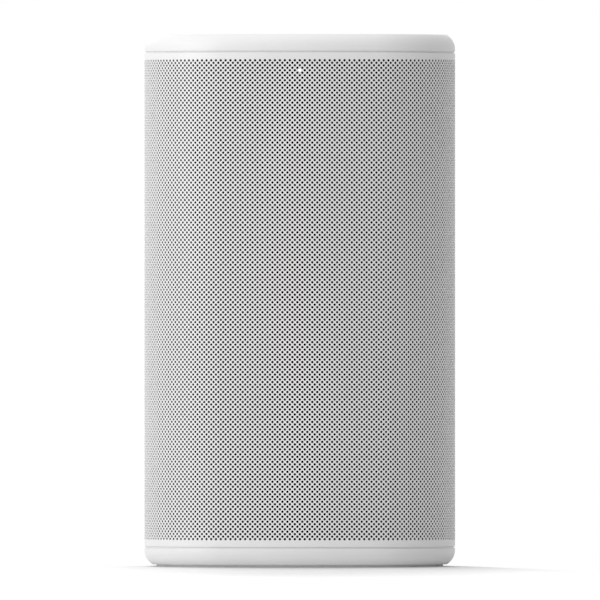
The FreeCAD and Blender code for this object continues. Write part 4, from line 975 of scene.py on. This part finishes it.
def foam(name, tint, roughness):
    """Closed-cell gasket foam."""
    finish = Finish(name, tint, roughness)
    bubbles = finish.cells(0.35)
    finish.fade(bubbles, 0.6)
    finish.emboss(bubbles, 0.05)
    return finish.material


def sheet_metal(name, tint, roughness, grain=0.08, coat=0.9):
    """Pressed metal with fine drawing lines and a slightly uneven plating."""
    finish = Finish(name, tint, roughness, Metallic=1.0)
    drawn = finish.stretched((1 / grain, 1.0, 1 / grain))
    lines = finish.noise(1.0, detail=3.0, place=drawn)
    finish.fade(finish.noise(6.0, detail=3.0), coat)
    finish.vary_roughness(lines, 0.16)
    finish.emboss(lines, 0.003, 0.4)
    return finish.material


def copper_winding(name, tint, roughness):
    """Turns of enamelled wire side by side."""
    finish = Finish(name, tint, roughness, Metallic=1.0, Coat_Weight=0.6, Coat_Roughness=0.15)
    reach = {"operation": "LENGTH"}
    radius = finish.node("ShaderNodeVectorMath", reach, {0: finish.place}, "Value")
    wire = 0.45 * MM
    turns = (radius * (2 * math.pi / wire)).sine() * 0.5 + 0.5
    finish.fade(turns, 0.62)
    finish.vary_roughness(finish.noise(2.0), 0.08)
    finish.emboss(turns, 0.06)
    return finish.material


def sintered(name, tint, roughness):
    """Pressed and fired ferrite: dull grey-black with small pores."""
    finish = Finish(name, tint, roughness)
    pores = finish.cells(0.8)
    finish.fade(pores, 0.7)
    finish.vary_roughness(finish.noise(1.2, detail=4.0), 0.15)
    finish.emboss(finish.noise(0.4, detail=3.0), 0.02)
    return finish.material


def circuit_board(name, tint, roughness):
    """Solder mask over a net of paler tracks."""
    finish = Finish(name, tint, roughness, Coat_Weight=0.3, Coat_Roughness=0.2)
    pitch = 2 * math.pi / 1.6
    across, up = finish.along("X"), finish.along("Z")
    level = (across * pitch).sine()
    upright = (up * pitch + finish.along("Y") * pitch).sine()
    tracks = level.larger(upright) > 0.93
    finish.stain(tracks, [part * 2.4 + 0.01 for part in tint])
    finish.vary_roughness(finish.noise(2.5, detail=3.0), 0.1)
    finish.emboss(tracks, 0.03)
    return finish.material


def shrink_sleeve(name, tint, roughness):
    """Film shrunk over a cell, with faint creases."""
    finish = Finish(name, tint, roughness, Coat_Weight=0.4, Coat_Roughness=0.25)
    creases = finish.noise(5.0, detail=4.0, place=finish.stretched((0.2, 1.0, 1.0)))
    finish.fade(creases, 0.85)
    finish.vary_roughness(creases, 0.12)
    finish.emboss(creases, 0.08)
    return finish.material


def pressed_paper(name, tint, roughness):
    """Coated paper pulp with short fibres."""
    finish = Finish(name, tint, roughness)
    fibres = finish.noise(0.9, detail=5.0)
    finish.fade(fibres, 0.6)
    finish.vary_roughness(fibres, 0.15)
    finish.emboss(fibres, 0.05)
    return finish.material


def lit_guide(name, tint, roughness):
    """Milky light guide that glows, a little brighter in some places than in others."""
    finish = Finish(name, tint, roughness, Emission_Strength=1.0)
    glow = finish.noise(3.0) * 0.1 + 0.9
    finish.fill(finish.shader, {"Emission Color": finish.mix(glow, (0.6, 0.6, 0.6), tint)})
    finish.fade(finish.noise(1.0), 0.95)
    return finish.material


def finish_makers(colours):
    """For each material slot of the record, how its finish is made."""
    rough = colours.shell_roughness
    return {
        "white_shell": lambda: moulded("White moulded shell", colours.shell, rough),
        "white_keys": lambda: moulded(
            "White moulded keys", colours.shell, rough, grain=0.1, depth=0.004
        ),
        # The cloth's colour is painted as shade on the walls of the holes
        "grille_white": lambda: painted_sleeve(
            "White matt sleeve", colours.sleeve, rough, core=colours.cloth
        ),
        "panel_grey": lambda: moulded("Pale moulded panel", colours.panel, rough + 0.05),
        "black_cloth": lambda: woven(
            "Black acoustic cloth", colours.cloth, 0.95, thread=0.36, relief=0.06, gloss=0.05
        ),
        "soft_foot": lambda: rubber("Pale foot rubber", colours.foot, 0.75),
        "light_guide": lambda: lit_guide("Milky light guide", colours.light, 0.3),
        "dark_plastic": lambda: moulded(
            "Black filled plastic", (0.035, 0.035, 0.037), 0.5, grain=0.3, depth=0.02
        ),
        "grey_plastic": lambda: moulded(
            "Grey plastic and print", colours.sign, 0.55, grain=0.25, depth=0.01
        ),
        "black_rubber": lambda: rubber("Black surround rubber", (0.022, 0.022, 0.022), 0.6),
        "seal_foam": lambda: foam("Gasket foam", (0.05, 0.05, 0.05), 0.9),
        "board": lambda: circuit_board("Green circuit board", (0.012, 0.06, 0.028), 0.35),
        "steel": lambda: sheet_metal("Zinc-plated steel", (0.58, 0.58, 0.57), 0.32),
        "socket_metal": lambda: sheet_metal(
            "Drawn socket steel", (0.52, 0.52, 0.53), 0.28, grain=0.05
        ),
        "aluminium": lambda: sheet_metal("Bare aluminium", (0.78, 0.78, 0.78), 0.38, grain=0.12),
        "ferrite": lambda: sintered("Fired ferrite", (0.06, 0.06, 0.065), 0.6),
        "copper": lambda: copper_winding("Enamelled copper", (0.72, 0.40, 0.22), 0.3),
        "cell_wrap": lambda: shrink_sleeve("Blue cell sleeve", (0.05, 0.16, 0.34), 0.4),
        "paper_cone": lambda: pressed_paper("Black paper cone", (0.03, 0.03, 0.03), 0.75),
        "silk": lambda: woven("Coated silk", (0.02, 0.02, 0.02), 0.5, thread=0.3, relief=0.02),
        "spider_cloth": lambda: woven(
            "Resin-dipped cotton", (0.42, 0.29, 0.12), 0.8, thread=0.7, relief=0.08
        ),
    }


FINISHED = {}  # The finishes made so far, by slot


def dress(piece, slot):
    """Gives a piece its slot's finish, made when it is first asked for."""
    if slot not in FINISHED:
        FINISHED[slot] = finish_makers(bpy.context.scene.speaker_finishes)[slot]()
    piece.data.materials.clear()
    piece.data.materials.append(FINISHED[slot])


class SPEAKER_OT_finishes(bpy.types.Operator):
    """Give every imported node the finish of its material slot"""

    bl_idname = "speaker.finishes"
    bl_label = "Finishes"

    def execute(self, context):
        for part in frame["record"]["subparts"]:
            node = frame["nodes"][part["node"]]
            dress(node, part["material_slot"])
        return {"FINISHED"}


# ---------------------------------------------------------------------------------------------
# Stage
# ---------------------------------------------------------------------------------------------


class SPEAKER_OT_stage(bpy.types.Operator):
    """Set the floor, the surroundings, the lamps and the camera"""

    bl_idname = "speaker.stage"
    bl_label = "Stage"

    # How far out from the foot, and how far below it the floor lies there: in front, and at the
    # sides and the back, in millimetres
    FALLS = (
        (0.0, 0.0, 0.0),
        (2.0, 0.45, 0.05),
        (4.0, 0.9, 0.1),
        (8.0, 1.7, 0.2),
        (14.0, 2.4, 0.4),
        (22.0, 3.0, 0.75),
        (36.0, 3.9, 1.4),
        (60.0, 5.4, 2.9),
        (120.0, 9.0, 8.0),
        (400.0, 28.0, 28.0),
        (1200.0, 84.0, 84.0),
        (4000.0, 280.0, 280.0),
    )
    FLOOR_STEPS = 120  # Steps in which the floor goes round the foot
    SHADOW_DEPTH = 0.7  # Share of the floor's paleness that the contact shadow can take away
    BOUNCE = (0.77, 0.77, 0.77, 1)  # The floor's colour to the light that it throws back

    # Each lamp's place, and its width and height, in metres
    LAMPS = {
        "key": ((-1.35, -0.95, 0.7), (1.5, 1.4)),
        "top": ((-0.25, -0.15, 1.7), (1.6, 1.6)),
        "fill": ((1.3, -0.9, 0.5), (0.6, 1.2)),
        "back": ((-0.3, 1.6, 0.9), (1.4, 1.2)),
    }
    SENSOR_WIDTH = 36.0  # Of the camera, in millimetres

    def execute(self, context):
        sizes = context.scene.speaker_stage
        floor = self.lay_floor(Plan(context.scene.speaker_sleeve.flatness / MM))
        floor.data.materials.append(self.finish_floor(sizes))
        self.light_surroundings(context.scene, sizes)
        for name, (place, size) in self.LAMPS.items():
            self.hang_lamp(f"{name}_light", place, size, getattr(sizes, f"{name}_power"))
        self.set_camera(context.scene, sizes)
        context.scene.view_settings.view_transform = "Standard"
        return {"FINISHED"}

    def lay_floor(self, plan):
        """A floor, level under the foot, that falls gently away, least at the sides and back."""
        foot = box_mm("foot_ring")[1].x - CAD_BOX[1].x / MM
        far, front_falls, side_falls = np.transpose(self.FALLS)
        floor = plan.strip(np.stack([-front_falls, foot + far], 1), self.FLOOR_STEPS)
        laid = places(floor)
        sideways = np.interp(-laid[:, 2] / MM, front_falls, side_falls)
        ahead = np.clip(-laid[:, 1] / np.hypot(laid[:, 0], laid[:, 1]), 0, 1)
        laid[:, 2] = laid[:, 2] * ahead - sideways * MM * (1 - ahead)
        move_to(floor, laid)
        ends = laid[read(floor.data.edges, "vertices", 2, np.int32)]
        at_foot = (np.abs(ends[:, :, 2]) < CLOSE * MM).all(1)
        pick(floor, open_edges(floor) & at_foot, "edges")
        with editing(floor, everything=False):
            bpy.ops.mesh.edge_face_add()
        with editing(floor):
            bpy.ops.mesh.normals_make_consistent(inside=False)
        if max(floor.data.polygons, key=lambda face: face.area).normal.z < 0:
            floor.data.flip_normals()
        floor.name = floor.data.name = "floor"
        floor.data.polygons.foreach_set("use_smooth", [True] * len(floor.data.polygons))
        return floor

    def finish_floor(self, sizes):
        """A pale finish that glows a little to the camera, with a painted contact shadow that
        darkens its colour and glow where the speaker stands close.
        """
        material = bpy.data.materials.new("Pale floor")
        material.use_nodes = True
        tree = Tree(material.node_tree)
        shown = next(n for n in tree.nodes if n.type == "BSDF_PRINCIPLED")
        sockets = {"Distance": sizes.shadow_reach}
        # Painted contact shadow: ambient occlusion darkens the floor's colour and glow near the
        # speaker
        open_sky = tree.node("ShaderNodeAmbientOcclusion", {"samples": 8}, sockets, output="AO")
        lit = open_sky * self.SHADOW_DEPTH + (1 - self.SHADOW_DEPTH)
        shade = lit * sizes.floor_tint
        tree.fill(shown, {"Base Color": shade, "Specular IOR Level": 0.0})
        tree.fill(shown, {"Emission Color": shade, "Emission Strength": sizes.floor_glow})
        pale = tree.node("ShaderNodeBsdfDiffuse", sockets={"Color": self.BOUNCE})
        self.show_camera(tree, "OUTPUT_MATERIAL", pale, Signal(tree, shown.outputs[0]))
        return material

    @staticmethod
    def show_camera(tree, output, hidden, shown):
        """Shows one shader to the camera, direct, mirrored or through glass, instead of another."""
        rays = ("Is Camera Ray", "Is Glossy Ray", "Is Transmission Ray")
        camera, glossy, through = (tree.node("ShaderNodeLightPath", output=ray) for ray in rays)
        seen = camera.larger(glossy).larger(through)
        mixed = tree.node("ShaderNodeMixShader", sockets={0: seen, 1: hidden, 2: shown})
        tree.fill(next(n for n in tree.nodes if n.type == output), {"Surface": mixed})

    def light_surroundings(self, scene, sizes):
        """White to the camera, and a softer even light on everything else."""
        world = bpy.data.worlds.new("Surroundings")
        world.use_nodes = True
        scene.world = world
        tree = Tree(world.node_tree)
        hidden, shown = (
            tree.node("ShaderNodeBackground", sockets={"Color": (1, 1, 1, 1), "Strength": strength})
            for strength in (sizes.sky, 1.0)
        )
        self.show_camera(tree, "OUTPUT_WORLD", hidden, shown)

    def hang_lamp(self, name, place, size, power):
        """A soft box that faces the speaker's middle."""
        bpy.ops.object.light_add(type="AREA", location=place)
        lamp = bpy.context.object
        lamp.name = lamp.data.name = name
        lamp.data.shape = "RECTANGLE"
        lamp.data.size, lamp.data.size_y = size
        lamp.data.energy = power
        lamp.rotation_euler = (MIDDLE - Vector(place)).to_track_quat("-Z", "Y").to_euler()

    def set_camera(self, scene, sizes):
        """A long lens, level with the speaker's middle, straight from the front."""
        place = MIDDLE - BACK * sizes.camera_distance
        place += RIGHT * sizes.camera_right + UP * sizes.camera_up
        bpy.ops.object.camera_add(location=place, rotation=(math.pi / 2, 0, 0))
        camera = bpy.context.object
        camera.name = camera.data.name = "camera"
        camera.data.sensor_width = self.SENSOR_WIDTH
        camera.data.lens = self.SENSOR_WIDTH * sizes.camera_distance / sizes.view_width
        scene.camera = camera


# ---------------------------------------------------------------------------------------------
# Panel and registration
# ---------------------------------------------------------------------------------------------

OPERATORS = (
    SPEAKER_OT_finishes,
    SPEAKER_OT_sleeve,
    SPEAKER_OT_seams,
    SPEAKER_OT_signs,
    SPEAKER_OT_contacts,
    SPEAKER_OT_stage,
)


class SPEAKER_PT_looks(bpy.types.Panel):
    """Sizes, colours and steps of the speaker's looks"""

    bl_label = "Smart speaker"
    bl_space_type = "VIEW_3D"
    bl_region_type = "UI"
    bl_category = "Speaker"

    def draw(self, context):
        for name in SETTINGS:
            box = self.layout.box()
            group = getattr(context.scene, name)
            for prop in group.bl_rna.properties:
                if prop.identifier not in ("rna_type", "name"):
                    box.prop(group, prop.identifier)
        for operator in OPERATORS:
            self.layout.operator(operator.bl_idname)


SETTINGS = {
    "speaker_sleeve": SleeveSizes,
    "speaker_finishes": FinishColours,
    "speaker_stage": StageSizes,
}
CLASSES = (*SETTINGS.values(), *OPERATORS, SPEAKER_PT_looks)


def register():
    for kind in CLASSES:
        bpy.utils.register_class(kind)
    for name, kind in SETTINGS.items():
        setattr(bpy.types.Scene, name, PointerProperty(type=kind))


def unregister():
    for name in SETTINGS:
        delattr(bpy.types.Scene, name)
    for kind in reversed(CLASSES):
        bpy.utils.unregister_class(kind)


def main():
    register()
    bpy.ops.speaker.finishes()
    bpy.ops.speaker.sleeve()
    bpy.ops.speaker.seams()
    bpy.ops.speaker.signs()
    bpy.ops.speaker.contacts()
    bpy.ops.speaker.stage()


if __name__ == "__main__":
    main()
